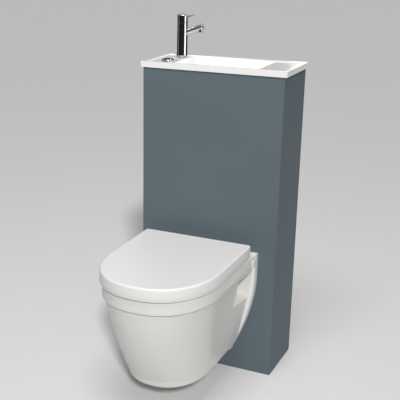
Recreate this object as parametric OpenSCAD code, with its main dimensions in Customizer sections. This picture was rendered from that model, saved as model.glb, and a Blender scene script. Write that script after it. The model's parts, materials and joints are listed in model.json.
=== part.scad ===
/* [Casing] */
// Width of the painted casing
casing_w = 455; // [445:1:520]
// Depth of the casing, from the wall to its front face
casing_d = 206; // [202:1:240]
// Height of the casing, from the floor to the underside of the basin
casing_h = 960; // [940:1:1060]
// Thickness of the casing's panels
panel_t = 12; // [9:1:16]
// Chamfer down the casing's two front corners
panel_chamfer = 1; // [0.5:0.1:3]
// Side of the square timber rails on the wall
rail_s = 20; // [15:1:22]

/* [Frame] */
// Sideways place of the frame and the pan, from the middle of the casing
frame_x = -9; // [-9:1:9]
// Room between the uprights and the casing's side panels, both sides together
frame_play = 41; // [37:1:60]
// Side of the square frame tubes
tube_s = 30; // [26:1:32]
// Wall of the square frame tubes
tube_wall = 2; // [1.5:0.5:3]
// Drop from the top of the casing to the top of the uprights
frame_drop = 35; // [32:1:60]
// Drop from the top of the uprights to the top rail
top_rail_drop = 15; // [0:1:25]
// Height of the bottom rail's underside
bottom_rail_z = 110; // [60:1:130]
// Thickness of the plate that carries the pan
plate_t = 4; // [3:0.5:6]
// Height of that plate
plate_h = 234; // [230:1:250]
// Depth of the lips folded along its edges
plate_lip = 25; // [15:1:28]
// Thickness of the steel feet
foot_t = 5; // [4:0.5:8]
// Width of a foot and of a wall plate
foot_w = 50; // [40:1:52]
// Length of a foot, from front to back
foot_l = 100; // [80:1:110]
// Radius of the floor bolt holes
foot_hole_r = 5; // [4:0.5:6]
// Height of a leg that slides up inside an upright
leg_h = 60; // [40:1:90]
// Drop from the top of the casing to the wall brackets' middles
bracket_drop = 110; // [90:1:130]
// Height of a wall plate
wall_plate_h = 70; // [64:1:80]
// Thickness of a wall plate
wall_plate_t = 4; // [3:0.5:6]
// Height between the two bolt holes in a wall plate
wall_hole_pitch = 44; // [40:1:50]
// Radius of the wall bolt holes
wall_hole_r = 4.5; // [3.5:0.5:6]
// Radius of the threaded rods to the wall
stay_r = 5; // [4:0.5:6]
// Height of the timber packers beside the uprights
packer_h = 60; // [40:1:80]

/* [Hand basin] */
// Overhang of the basin past each side of the casing
basin_side = 7.5; // [4:0.5:12]
// Overhang of the basin past the front of the casing
basin_front = 4; // [2:0.5:10]
// Visible thickness of the basin's edge
slab_t = 18; // [16:1:24]
// Depth of the sunken deck below the rim
deck_sink = 3; // [2:0.5:4]
// Width of the rim at the front and the sides
rim_w = 13; // [10:1:16]
// Width of the rim along the wall
rim_back = 20; // [16:1:22]
// Distance from the left edge to the start of the trough's ramp
trough_left = 100; // [96:1:110]
// Distance from the right edge to the trough's end
trough_right = 97; // [90:1:120]
// Depth of the trough, from the deck to its floor
trough_depth = 39; // [34:1:40]
// Length of the ramp at the trough's left end
ramp_l = 48; // [35:1:60]
// Thickness of the trough's walls and floor
trough_wall = 6; // [5:0.5:7]
// Distance from the right end of the trough to the waste
waste_inset = 62; // [58:1:72]

/* [Tap] */
// Distance from the left edge of the basin to the tap
tap_left = 70; // [66:1:76]
// Distance from the front edge of the basin to the tap
tap_front = 158; // [156:1:162]
// Radius of the tap's body
tap_r = 17; // [15:0.5:18]
// Height of the tap's body above the deck
tap_body_h = 108; // [100:1:120]
// Height of the turning cap
cap_h = 24; // [20:1:30]
// Height of the spout's axis on the tap's axis
spout_z = 73; // [65:1:80]
// Rise of the spout, in degrees
spout_rise = 21; // [15:1:30]
// Length of the spout from the tap's axis
spout_l = 75; // [65:1:85]
// Radius of the spout
spout_r = 9.5; // [8:0.5:10]
// Radius of the outlet under the spout's end
outlet_r = 7; // [6:0.5:8]
// Drop of that outlet below the spout
outlet_drop = 4.5; // [4:0.5:6]
// Radius of the pin lever
pin_r = 2.3; // [2:0.1:3]
// Reach of the pin lever from the tap's axis
pin_l = 49; // [40:1:56]
// Rise of the pin lever, in degrees
pin_rise = 18; // [0:1:25]
// Radius of the threaded shank
shank_r = 10.5; // [9:0.5:11]

/* [Flush button] */
// Distance from the left edge of the basin to the button
button_left = 68; // [64:1:72]
// Radius of the button's ring
ring_r = 20; // [19:0.5:22]
// Height of the ring above the deck
ring_h = 5; // [3:0.5:7]
// Radius of the pair of buttons
button_r = 16; // [15:0.5:16.5]
// Height of the buttons above the ring
button_rise = 3.5; // [2:0.5:5]
// Travel of the buttons
button_travel = 6; // [5:0.5:6.5]
// Radius of the buttons' stems
stem_r = 2.5; // [2:0.1:3]

/* [Cistern] */
// Distance from the casing's front to the flush valve's axis
valve_front = 65; // [64:1:68]
// Gap between the cistern and the uprights
tank_play = 5; // [2:1:12]
// Depth of the cistern
tank_d = 105; // [101:1:108]
// Drop from the top of the casing to the top of the cistern
tank_drop = 130; // [126:1:160]
// Wall of the cistern
tank_wall = 4; // [3:0.5:5]
// Height of the cistern's underside above the floor
tank_z = 500; // [496:1:510]
// Thickness of the shelf under the cistern
shelf_t = 4; // [3:0.5:6]
// Thickness of the cistern's cover
cover_t = 6; // [5:0.5:8]
// Radius of the lift tube
lift_r = 16; // [14:0.5:16.5]
// Distance of the half flush rod from the lift tube
slide_gap = 7.5; // [6:0.5:9]
// Distance from the buttons to the levers' pivot
pivot_x = 47; // [44:1:52]
// Height of the levers' pivot above the cover
pivot_h = 16; // [15:1:19]
// Width and depth of the levers' bars
lever_t = 4; // [3.5:0.5:4]
// Radius of the float
float_r = 22; // [18:1:23]
// Height of the float
float_h = 60; // [50:1:70]

/* [Pipes] */
// Outer radius of the waste pipe
drain_r = 45; // [40:1:46]
// Length of the waste pipe's slimmer lower end, which goes into the house's pipe
drain_end = 70; // [50:1:80]
// Height of the basin trap's underside
trap_z = 300; // [280:1:320]
// Length of the basin trap
trap_l = 100; // [90:1:120]
// Outer radius of the flush pipe
flush_r = 25; // [20:1:25]
// Outer radius of the basin's waste pipe
basin_pipe_r = 16; // [14:0.5:17]
// Wall of the plastic pipes
pipe_wall = 3; // [2:0.5:4]
// Distance from the wall to the waste pipes' axes
drain_back = 66; // [66:1:68]
// Outer radius of the copper supply pipe
supply_r = 5; // [4:0.5:6]
// Radius of the threaded inlet that meets the house's pipe
inlet_r = 10.5; // [9:0.5:12]

/* [Pan] */
// Half width of the pan at the casing
pan_half = 180; // [172:1:186]
// Half width of the pan's rim where its front curve starts
rim_half = 171; // [164:1:174]
// Distance from the casing to the start of the front curve
curve_v = 292; // [280:1:300]
// Distance from the casing to the pan's front
pan_front = 496; // [480:1:510]
// Height of the rim above the floor
rim_z = 415; // [410:1:420]
// Height of the raised deck behind the seat above the rim
deck_rise = 10; // [6:1:12]
// Length of that deck, from the casing
deck_l = 44; // [38:1:46]
// Height of the rim band
band_h = 41; // [34:1:44]
// Inset of the body below the rim band
band_step = 3; // [2:0.5:4]
// Height of the pan's underside above the floor
pan_bottom = 89; // [80:1:100]
// Half width of the body at the bottom
bottom_half = 126; // [118:1:130]
// Distance from the casing to the front of the bottom
bottom_front = 388; // [370:1:400]
// Radius of the body's lower edge
bottom_r = 22; // [16:1:28]
// Thickness of the cast walls
cast_wall = 11; // [9:0.5:14]
// Thickness of the flange against the casing
flange_t = 30; // [26:1:34]
// Exponent of the front curve: 2 is an ellipse, more is squarer
curve_n = 2.2; // [2:0.1:2.5]
// Half width of the bowl's mouth
mouth_half = 116; // [108:1:120]
// Distance from the casing to the back of the bowl's mouth
mouth_back = 122; // [118:1:130]
// Distance from the pan's front to the bowl's mouth
mouth_lip = 35; // [30:1:42]
// Depth of the bowl below the rim
bowl_depth = 222; // [210:1:230]
// Distance between the two hanging rods
rod_pitch = 180; // [176:1:184]
// Radius of the hanging rods
rod_r = 6; // [5:0.5:6]
// Height of the waste outlet's axis
outlet_z = 248; // [244:1:252]
// Radius of the pan's waste spigot
spigot_r = 51; // [48:0.5:52]
// Height from the waste's axis to the flush inlet's axis
inlet_rise = 135; // [134:1:137]

/* [Seat and lid] */
// Half width of the lid
lid_half = 177; // [172:1:179]
// Distance from the casing to the lid's front
lid_front = 504; // [498:1:512]
// Distance from the casing to the lid's back
lid_back = 56; // [54:1:60]
// Height of the lid's top above the rim
lid_top = 42; // [40:1:48]
// Gap between the rim and the lid's lower edge
lid_gap = 2; // [1.5:0.5:4]
// Thickness of the lid's top
lid_t = 6; // [4:0.5:7]
// Thickness of the lid's skirt
skirt_t = 5; // [4:0.5:6]
// Radius of the lid's upper edge
lid_edge = 6; // [3:0.5:7]
// Radius of the lid's back corners
lid_corner = 10; // [6:1:16]
// Thickness of the seat
seat_t = 24; // [20:1:25]
// Height of the seat's pads
pad_h = 2.7; // [2:0.1:3]
// Distance between the two hinge posts
hinge_pitch = 155; // [140:1:170]
// Distance from the casing to the hinge axis
hinge_v = 72; // [70:1:76]
// Height of the hinge axis above the rim
hinge_h = 19; // [18:0.5:20]
// Radius of the hinge pins
hinge_pin_r = 4; // [3:0.5:4]
// Thickness of the hinge posts' round bases
hinge_base_t = 2; // [1:0.5:2]

/* [Clearances] */
// Gap between pieces that move past each other
move_gap = 0.3; // [0.2:0.05:0.5]
// Radial play of a turning pin in its bore
turn_gap = 0.08; // [0.05:0.01:0.1]
// Radial gap around a fixed piece in its hole
hole_gap = 0.4; // [0.2:0.1:1]

/* [Hidden] */
$fn = 64;
half_w = casing_w / 2;
inner_half = half_w - panel_t;
front_y = -casing_d;
frame_y = front_y + panel_t;
upright_x = inner_half - tube_s / 2 - frame_play / 2;
bay_half = upright_x - tube_s / 2;
frame_top = casing_h - frame_drop;
top_rail_z = frame_top - top_rail_drop - tube_s;
bracket_z = casing_h - bracket_drop;
slab_top = casing_h + slab_t;
deck_z = slab_top - deck_sink;
basin_half = half_w + basin_side;
basin_y = front_y - basin_front;
trough_floor = deck_z - trough_depth;
trough_x0 = -basin_half + trough_left;
trough_x1 = basin_half - trough_right;
// The trough's room where it passes the casing's top, and how far its floor is drawn in
trough_waist_x0 = trough_x0 + 0.35 * ramp_l;
trough_waist_l = trough_x1 - 4 - trough_waist_x0;
trough_floor_l = trough_x1 - 12 - trough_x0 - ramp_l;
trough_draw = 16;
waste_x = trough_x1 - waste_inset;
trough_y0 = frame_y + trough_wall + 1;
trough_y1 = -rail_s - trough_wall - 2;
waste_y = (trough_y0 + trough_y1) / 2;
tap_x = -basin_half + tap_left;
tap_y = basin_y + tap_front;
// Place of the spout's outlet, from the tap's axis and from the deck
outlet_dx = (spout_l - outlet_r) * cos(spout_rise) - 1;
outlet_dz = round(spout_z + outlet_dx * tan(spout_rise) - spout_r - outlet_drop);
valve_y = front_y + valve_front;
tank_y0 = frame_y + plate_t;
tank_w = 2 * (bay_half - tank_play);
tank_top = casing_h - tank_drop;
tank_h = tank_top - tank_z;
cover_top = tank_top + cover_t;
pivot_z = cover_top + pivot_h;
button_x = -basin_half + button_left;
lift_top = pivot_z + lever_t / 2 + move_gap;
// Places of the two levers in front of the lift tube
full_lever_gap = 1.2;
half_lever_y = valve_y - lift_r / 2 + 1.5 - lever_t / 2;
full_lever_y = valve_y - lift_r - full_lever_gap - lever_t / 2;
button_y = (half_lever_y + full_lever_y) / 2 - 1.5;
slide_r = 3.5;
slide_x = -lift_r - slide_r - slide_gap;
slide_y = half_lever_y - valve_y + lever_t / 2 + slide_r + move_gap;
inlet_z = outlet_z + inlet_rise;
rod_z = outlet_z + 100;
plate_z0 = outlet_z - spigot_r - 16;
drain_y = -drain_back;
hinge_z = rim_z + hinge_h;
seat_z = rim_z + pad_h + move_gap;
lid_z1 = rim_z + lid_top;
lid_z0 = rim_z + lid_gap;
cavity_z = lid_z1 - lid_t;
notch_half = 18;
post_r = 8;
heel_r = 10.2;
hinge_base_r = post_r + 1;
lid_swing_r = 15.5;
basin_boss_z = bottom_rail_z + 10;
// The trapway's start, radius, length and tilt, inside the pan
trap_v = mouth_back + 74;
trapway_r = 30;
trap_floor_z = rim_z - bowl_depth + trapway_r;
trapway_l = 150;
trapway_tilt = 56;
outlet_bore_r = spigot_r - 9;
outlet_bore_l = 92;
outlet_reach = 35;
// The socket for the flush pipe in the pan, and the narrower way on to the rim
flush_bore_r = flush_r + 2.5;
flush_bore_l = 46;
rim_way_r = 14;
rim_way_end = mouth_back + 20;
seam_z = rim_z - band_h;
rim_round = 6;
deck_round = 4;
deck_taper = 1.2;
// How far the body and the flange draw in on their way down
back_draw = 50;
curve_draw = 62;
flange_draw = 75;
flange_bend_z = rim_z - 85;
flange_bend_h = 260;
flange_z0 = pan_bottom - 8;
flange_z1 = rim_z - 2;
flange_corner = 14;
// The pocket in each flank: its floor, its roof, and its inner wall
pocket_floor_z = outlet_z + 42;
pocket_roof_z = seam_z - 13;
pocket_back_x = 66;
pocket_back_v = 92;
pocket_front_x = 132;
pocket_front_v = 200;
hinge_screw_r = 6;
hinge_screw_l = 26;
// Places of the pads under the seat and the lid, as [x, distance from the casing]
pad_places = [[rim_half - 35, mouth_back + 78], [rim_half - 66, pan_front - 71]];
seat_pad_r = 8;
lid_pad_r = 6;
seat_inset = skirt_t + 2.5;
seat_round = 8;
hole_half = mouth_half - 6;
// The lid's ears on the hinge pins
ear_t = 6;
ear_x = post_r + 1.5 + ear_t / 2;
pin_half = notch_half + 11;
// Room round the pan's pipes, and round its rods and the tap's shank, where they pass through
pipe_room = 5;
bolt_room = 2;
// The flush valve's threaded tail, its collar and the height of its seat in the tank
valve_tail_r = 28;
valve_tail_l = 30;
valve_collar_r = 36;
valve_collar_h = 6;
valve_seat_h = 8;
valve_bore_r = 22;
flush_seal_t = 4;
lift_wall = 3;
lift_tab_t = 5;
lever_pin_r = 2.5;
lever_boss_r = 5.5;
float_pin_r = 2.5;
float_stem = 12;
fill_shank_r = 7;
// The stop valve, measured from the wall
stop_body_l = 58;
stop_handle_l = 72;
stop_spindle_r = 4;
stop_riser_y = -38;
stop_outlet_h = 32;
// The socket of the waste bend, and the boss on it for the basin's pipe
socket_l = 24;
socket_wall = 4;
boss_reach = drain_r + 10;
drain_foot_z = rail_s + 5;
waste_flange_r = 22;
waste_tail_l = 36;
grid_hole_r = 2.6;
// The tap's shank below the deck, and the spindle between its body and cap
shank_l = 48;
spindle_r = 5;
spindle_l = 15;
gasket_t = 1.5;
cap_gap = move_gap + 0.5;
cap_bevel = 3;
button_sink = 4;
button_bevel = 1.5;
spring_web_z = casing_h - 12;
spring_web_t = 3;
stop_x = inner_half - 30;
stop_z = tank_top - 130;
fill_z = tank_top - 30;
float_x = frame_x + 60;
float_pivot_x = frame_x + tank_w / 2 - tank_wall - 44;

white = [0.95, 0.95, 0.94];
plastic_white = [0.9, 0.9, 0.89];
chrome = [0.8, 0.82, 0.84];
steel = [0.66, 0.68, 0.7];
frame_blue = [0.2, 0.34, 0.5];
paint = [0.41, 0.45, 0.48];
rubber = [0.12, 0.12, 0.12];
timber = [0.76, 0.62, 0.42];
drain_grey = [0.25, 0.26, 0.27];
copper = [0.78, 0.5, 0.34];
brass = [0.8, 0.68, 0.38];

// Points of a circle's arc, from one angle to another
function arc(c, r, a0, a1, steps) =
  [for (i = [0:steps]) c + r * [cos(a0 + (a1 - a0) * i / steps), sin(a0 + (a1 - a0) * i / steps)]];

// Half of a superellipse, from +x round the front to -x, as [x, v] points
function front_curve(half, v0, v1, n, steps) =
  [for (i = [0:steps])
    let (a = 180 * i / steps, c = cos(a), s = sin(a))
    [half * sign(c) * pow(abs(c), 2 / n), v0 + (v1 - v0) * pow(abs(s), 2 / n)]];

// A closed superellipse around a middle, as [x, v] points
function oval(half, mid, reach, n, steps) =
  [for (i = [0:steps - 1])
    let (a = 360 * i / steps, c = cos(a), s = sin(a))
    [half * sign(c) * pow(abs(c), 2 / n), mid + reach * sign(s) * pow(abs(s), 2 / n)]];

// Rings of equal point counts, listed upwards, joined into one closed solid
module loft(rings, heights) {
  n = len(rings[0]);
  m = len(rings);
  points = [for (k = [0:m - 1]) for (p = rings[k]) [p[0], p[1], heights[k]]];
  sides = [for (k = [0:m - 2]) for (i = [0:n - 1])
    let (j = (i + 1) % n)
    each [[k * n + i, (k + 1) * n + i, (k + 1) * n + j], [k * n + i, (k + 1) * n + j, k * n + j]]];
  low = [[for (i = [0:n - 1]) i]];
  high = [[for (i = [n - 1:-1:0]) (m - 1) * n + i]];
  polyhedron(concat(points), concat(sides, low, high));
}

// Moves what is drawn as [x, distance from the casing, height] into place
module at_pan() {
  translate([frame_x, front_y, 0]) mirror([0, 1, 0]) children();
}

// A square tube standing on its middle
module square_tube(length) {
  difference() {
    translate([-tube_s / 2, -tube_s / 2, 0]) cube([tube_s, tube_s, length]);
    translate([-tube_s / 2 + tube_wall, -tube_s / 2 + tube_wall, -1])
      cube([tube_s - 2 * tube_wall, tube_s - 2 * tube_wall, length + 2]);
  }
}

// A round tube standing on its end
module round_tube(outer, inner, length) {
  difference() {
    cylinder(r = outer, h = length);
    translate([0, 0, -1]) cylinder(r = inner, h = length + 2);
  }
}

// A cylinder that runs towards the wall
module y_cylinder(r, y0, y1) {
  translate([0, y1, 0]) rotate([90, 0, 0]) cylinder(r = r, h = y1 - y0);
}

// A quarter bend of pipe round the origin, from its wall side down to its underside
module bend(outer, inner, radius) {
  rotate([0, -90, 0]) rotate([0, 0, 90])
    rotate_extrude(angle = 90) translate([radius, 0]) difference() {
      circle(r = outer, $fn = 40);
      circle(r = inner, $fn = 40);
    }
}

// A hexagon nut standing on its end
module hex_nut(across, bore_r, length) {
  difference() {
    cylinder(r = across / sqrt(3), h = length, $fn = 6);
    translate([0, 0, -1]) cylinder(r = bore_r, h = length + 2);
  }
}

// The casing
module casing_front_panel() {
  c = panel_chamfer;
  color(paint) difference() {
    linear_extrude(casing_h) polygon([
      [-half_w + c, front_y], [half_w - c, front_y], [half_w - c / 2, front_y + c / 2],
      [inner_half, frame_y], [-inner_half, frame_y], [-half_w + c / 2, front_y + c / 2]
    ]);
    translate([frame_x, 0, outlet_z]) y_cylinder(spigot_r + pipe_room, front_y - 1, frame_y + 1);
    translate([frame_x, 0, inlet_z]) y_cylinder(flush_r + pipe_room, front_y - 1, frame_y + 1);
    for (s = [-1, 1])
      translate([frame_x + s * rod_pitch / 2, 0, rod_z])
        y_cylinder(rod_r + bolt_room, front_y - 1, frame_y + 1);
  }
}

module side_panel(s) {
  c = panel_chamfer;
  color(paint) linear_extrude(casing_h) polygon([
    [s * (half_w - c / 2), front_y + c / 2], [s * half_w, front_y + c], [s * half_w, 0],
    [s * inner_half, 0], [s * inner_half, frame_y]
  ]);
}

module casing_left_panel() {
  side_panel(-1);
}

module casing_right_panel() {
  side_panel(1);
}

module rear_rails() {
  color(timber) for (z = [0, casing_h - rail_s])
    translate([-inner_half, -rail_s, z]) cube([2 * inner_half, rail_s, rail_s]);
}

module panel_packers() {
  color(timber) for (z = [rod_z - packer_h / 2, bracket_z - packer_h])
    for (s = [-1, 1]) {
      inside = frame_x + s * (upright_x + tube_s / 2);
      outside = s * inner_half;
      translate([min(inside, outside), frame_y, z]) cube([abs(outside - inside), tube_s, packer_h]);
    }
}

// The frame
module upright(s) {
  color(frame_blue) translate([frame_x + s * upright_x, frame_y + tube_s / 2, foot_t])
    square_tube(frame_top - foot_t);
}

module frame_left_upright() {
  upright(-1);
}

module frame_right_upright() {
  upright(1);
}

module cross_rail(z) {
  color(frame_blue) translate([frame_x - bay_half, frame_y + tube_s / 2, z + tube_s / 2])
    rotate([0, 90, 0]) square_tube(2 * bay_half);
}

module frame_top_rail() {
  cross_rail(top_rail_z);
}

module frame_bottom_rail() {
  cross_rail(bottom_rail_z);
}

// A plate with folded lips that carries the pan's two rods
module pan_bearing_plate() {
  color(frame_blue) difference() {
    union() {
      translate([frame_x - bay_half, frame_y, plate_z0]) cube([2 * bay_half, plate_t, plate_h]);
      for (z = [plate_z0, plate_z0 + plate_h - plate_t])
        translate([frame_x - bay_half, frame_y, z]) cube([2 * bay_half, plate_lip, plate_t]);
    }
    translate([frame_x, 0, outlet_z])
      y_cylinder(spigot_r + pipe_room, frame_y - 1, frame_y + plate_t + 1);
    translate([frame_x, 0, inlet_z])
      y_cylinder(flush_r + pipe_room, frame_y - 1, frame_y + plate_t + 1);
    translate([frame_x - flush_r - pipe_room, frame_y + plate_t, inlet_z])
      cube([2 * (flush_r + pipe_room), plate_lip, plate_h]);
    for (s = [-1, 1])
      translate([frame_x + s * rod_pitch / 2, 0, rod_z])
        y_cylinder(rod_r + hole_gap, frame_y - 1, frame_y + plate_t + 1);
  }
}

// Feet with a leg that slides up inside each upright
module frame_feet() {
  leg = tube_s - 2 * tube_wall - 2 * hole_gap;
  color(steel) for (s = [-1, 1])
    translate([frame_x + s * upright_x, frame_y, 0]) difference() {
      union() {
        translate([-foot_w / 2, 0, 0]) cube([foot_w, foot_l, foot_t]);
        translate([-leg / 2, tube_s / 2 - leg / 2, foot_t - 1]) cube([leg, leg, leg_h + 1]);
      }
      translate([0, foot_l - 26, -1]) cylinder(r = foot_hole_r, h = foot_t + 2);
    }
}

// Plates on the wall with threaded stays to the uprights
module wall_brackets() {
  color(steel) for (s = [-1, 1])
    translate([frame_x + s * upright_x, 0, bracket_z]) {
      difference() {
        translate([-foot_w / 2, -wall_plate_t, -wall_plate_h / 2])
          cube([foot_w, wall_plate_t, wall_plate_h]);
        for (k = [-1, 1])
          translate([0, 0, k * wall_hole_pitch / 2]) y_cylinder(wall_hole_r, -wall_plate_t - 1, 1);
      }
      y_cylinder(stay_r, frame_y + tube_s, -wall_plate_t);
      translate([0, frame_y + tube_s, 0]) rotate([-90, 0, 0]) hex_nut(17, stay_r, 8);
      translate([0, -wall_plate_t - 8, 0]) rotate([-90, 0, 0]) hex_nut(17, stay_r, 8);
    }
}

// The cistern
module cistern_shelf() {
  color(frame_blue) difference() {
    translate([frame_x - bay_half, frame_y, tank_z - shelf_t])
      cube([2 * bay_half, plate_t + tank_d, shelf_t]);
    translate([frame_x, valve_y, tank_z - shelf_t - 1]) cylinder(r = 46, h = shelf_t + 2);
  }
}

module cistern_tank() {
  x0 = frame_x - tank_w / 2;
  color(plastic_white) difference() {
    translate([x0, tank_y0, tank_z]) cube([tank_w, tank_d, tank_h]);
    translate([x0 + tank_wall, tank_y0 + tank_wall, tank_z + tank_wall])
      cube([tank_w - 2 * tank_wall, tank_d - 2 * tank_wall, tank_h]);
    translate([frame_x, valve_y, tank_z - 1]) cylinder(r = valve_tail_r + hole_gap, h = tank_wall + 2);
    translate([frame_x + tank_w / 2 - tank_wall - 1, valve_y, fill_z])
      rotate([0, 90, 0]) cylinder(r = fill_shank_r + hole_gap, h = tank_wall + 2);
  }
}

// A cover with a lip inside the tank and a slot for the levers' ends
module cistern_cover() {
  x0 = frame_x - tank_w / 2;
  inset = tank_wall + hole_gap;
  color(plastic_white) difference() {
    union() {
      translate([x0, tank_y0, tank_top]) cube([tank_w, tank_d, cover_t]);
      translate([x0 + inset, tank_y0 + inset, tank_top - 8])
        cube([tank_w - 2 * inset, tank_d - 2 * inset, 9]);
    }
    translate([x0 + inset + 3, tank_y0 + inset + 3, tank_top - 9])
      cube([tank_w - 2 * inset - 6, tank_d - 2 * inset - 6, 9]);
    translate([frame_x + slide_x - 12, full_lever_y - 8, tank_top - 1])
      cube([lift_r - slide_x + 18, valve_y + lift_r + 4 - full_lever_y + 8, cover_t + 2]);
  }
}

// The outlet body, with a collar inside the tank and a threaded tail below it
module flush_valve_seat() {
  color(plastic_white) translate([frame_x, valve_y, 0]) difference() {
    union() {
      translate([0, 0, tank_z + tank_wall]) cylinder(r = valve_collar_r, h = valve_collar_h);
      translate([0, 0, tank_z + tank_wall + valve_collar_h - 1])
        cylinder(r = valve_bore_r + 3, h = valve_seat_h - valve_collar_h + 1);
      translate([0, 0, tank_z - valve_tail_l])
        cylinder(r = valve_tail_r, h = valve_tail_l + tank_wall + 1);
    }
    translate([0, 0, tank_z - valve_tail_l - 1]) cylinder(r = valve_bore_r, h = 2 * valve_tail_l);
  }
}

module flush_valve_nut() {
  color(plastic_white) translate([frame_x, valve_y, tank_z - 17])
    hex_nut(70, valve_tail_r + hole_gap / 2, 12);
}

module flush_valve_washer() {
  color(rubber) translate([frame_x, valve_y, tank_z - 5]) round_tube(38, valve_tail_r + hole_gap / 2, 5);
}

// Four legs and a ring that keep the lift tube upright
module flush_valve_tower() {
  z0 = tank_z + tank_wall + valve_collar_h;
  tower_h = tank_h * 0.42;
  color(drain_grey) translate([frame_x, valve_y, z0]) {
    difference() {
      translate([0, 0, tower_h]) cylinder(r = valve_collar_r, h = valve_collar_h);
      translate([0, 0, tower_h - 1]) cylinder(r = lift_r + 0.6, h = 8);
      translate([slide_x, slide_y, tower_h - 1]) cylinder(r = slide_r + 0.6, h = 8);
    }
    for (a = [45:90:315])
      rotate([0, 0, a]) translate([30, -3, 0]) cube([5, 6, tower_h]);
  }
}

// The overflow tube that the full flush lifts, with a tab for the lever
module flush_lift_tube() {
  z0 = tank_z + tank_wall + valve_seat_h + move_gap + flush_seal_t;
  tab = lift_r + full_lever_gap + lever_t + 1;
  color(plastic_white) translate([frame_x, valve_y, 0]) difference() {
    union() {
      translate([0, 0, z0]) cylinder(r = lift_r, h = lift_top + lift_tab_t - z0);
      translate([-10, -tab, lift_top]) cube([20, tab, lift_tab_t]);
    }
    translate([0, 0, z0 - 1]) cylinder(r = lift_r - lift_wall, h = lift_top + lift_tab_t + 2 - z0);
  }
}

module flush_seal() {
  color(rubber) translate([frame_x, valve_y, tank_z + tank_wall + valve_seat_h + move_gap])
    round_tube(valve_bore_r + 5, lift_r - lift_wall, flush_seal_t);
}

// The slim rod that the half flush lifts, with a float at its foot
module half_flush_slide() {
  z0 = tank_z + 60;
  color(plastic_white) translate([frame_x + slide_x, valve_y + slide_y, 0]) {
    translate([0, 0, z0]) cylinder(r = slide_r, h = lift_top + lift_tab_t - z0);
    translate([0, 0, lift_top]) cylinder(r = slide_r + 4.5, h = lift_tab_t);
    translate([0, 0, z0]) cylinder(r = slide_r + 4, h = 40);
  }
}

// A fork on the cover with one pin for both levers
module lever_bracket() {
  x = button_x + pivot_x;
  y0 = full_lever_y - lever_t / 2 - 4;
  y1 = half_lever_y + lever_t / 2 + 4;
  color(drain_grey) translate([x, 0, 0]) {
    translate([-9, y0, cover_top]) cube([18, y1 - y0, 4]);
    for (y = [y0, y1 - 3])
      translate([-5, y, cover_top + 3]) cube([10, 3, pivot_h + 2]);
    translate([0, 0, pivot_z]) y_cylinder(lever_pin_r, y0 + 1, y1 - 1);
  }
}

// A bar from under a button's stem to under what it lifts
module lever(y, reach) {
  x0 = button_x - 5;
  x = button_x + pivot_x;
  color(drain_grey) difference() {
    union() {
      translate([x0, y - lever_t / 2, pivot_z - lever_t / 2]) cube([reach - x0, lever_t, lever_t]);
      translate([x, 0, pivot_z]) y_cylinder(lever_boss_r, y - lever_t / 2, y + lever_t / 2);
    }
    translate([x, 0, pivot_z]) y_cylinder(lever_pin_r + turn_gap, y - lever_t, y + lever_t);
  }
}

module full_flush_lever() {
  lever(full_lever_y, frame_x + 3);
}

module half_flush_lever() {
  lever(half_lever_y, frame_x + slide_x + 3);
}

// The inlet valve on the tank's right wall, with a fork for its float arm
module fill_valve() {
  x1 = frame_x + tank_w / 2 - tank_wall;
  color(plastic_white) {
    translate([float_pivot_x + 9, valve_y - 10, fill_z - 11]) cube([x1 - float_pivot_x - 9, 20, 22]);
    for (y = [valve_y - 10, valve_y + 5])
      translate([float_pivot_x - 5, y, fill_z - 5]) cube([16, 5, 10]);
    translate([float_pivot_x, 0, fill_z]) y_cylinder(float_pin_r, valve_y - 9, valve_y + 9);
    translate([x1 - 1, valve_y, fill_z]) rotate([0, 90, 0]) cylinder(r = fill_shank_r, h = tank_wall + 11);
  }
  color(brass) translate([x1 + tank_wall, valve_y, fill_z]) rotate([0, 90, 0]) hex_nut(20, fill_shank_r, 5);
}

module float_arm() {
  color(plastic_white) difference() {
    union() {
      translate([float_x, valve_y - 3.5, fill_z - 3]) cube([float_pivot_x - float_x, 7, 6]);
      translate([float_pivot_x, 0, fill_z]) y_cylinder(5, valve_y - 3.5, valve_y + 3.5);
      translate([float_x, valve_y, fill_z - float_stem]) cylinder(r = 4, h = float_stem + 3);
    }
    translate([float_pivot_x, 0, fill_z]) y_cylinder(float_pin_r + turn_gap, valve_y - 5, valve_y + 5);
  }
}

module float_cup() {
  color(drain_grey) translate([float_x, valve_y, fill_z - float_stem - float_h]) difference() {
    cylinder(r = float_r, h = float_h);
    translate([0, 0, -1]) cylinder(r = float_r - 2.5, h = float_h - 3);
  }
}

// The supply
module stop_valve() {
  color(chrome) translate([stop_x, 0, stop_z]) {
    y_cylinder(inlet_r, -16, 0);
    y_cylinder(20, -20, -16);
    y_cylinder(13, -stop_body_l, -20);
    translate([0, stop_riser_y, 10]) cylinder(r = 9, h = stop_outlet_h - 10);
    y_cylinder(stop_spindle_r, -stop_body_l - 8, -stop_body_l);
  }
}

module stop_valve_handle() {
  color(drain_grey) translate([stop_x, 0, stop_z]) difference() {
    union() {
      y_cylinder(9, -stop_handle_l, -stop_body_l - move_gap);
      translate([-5, -stop_handle_l, 0]) cube([10, 7, 34]);
    }
    y_cylinder(stop_spindle_r + turn_gap, -stop_body_l - 9, -stop_body_l + 1);
  }
}

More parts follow.
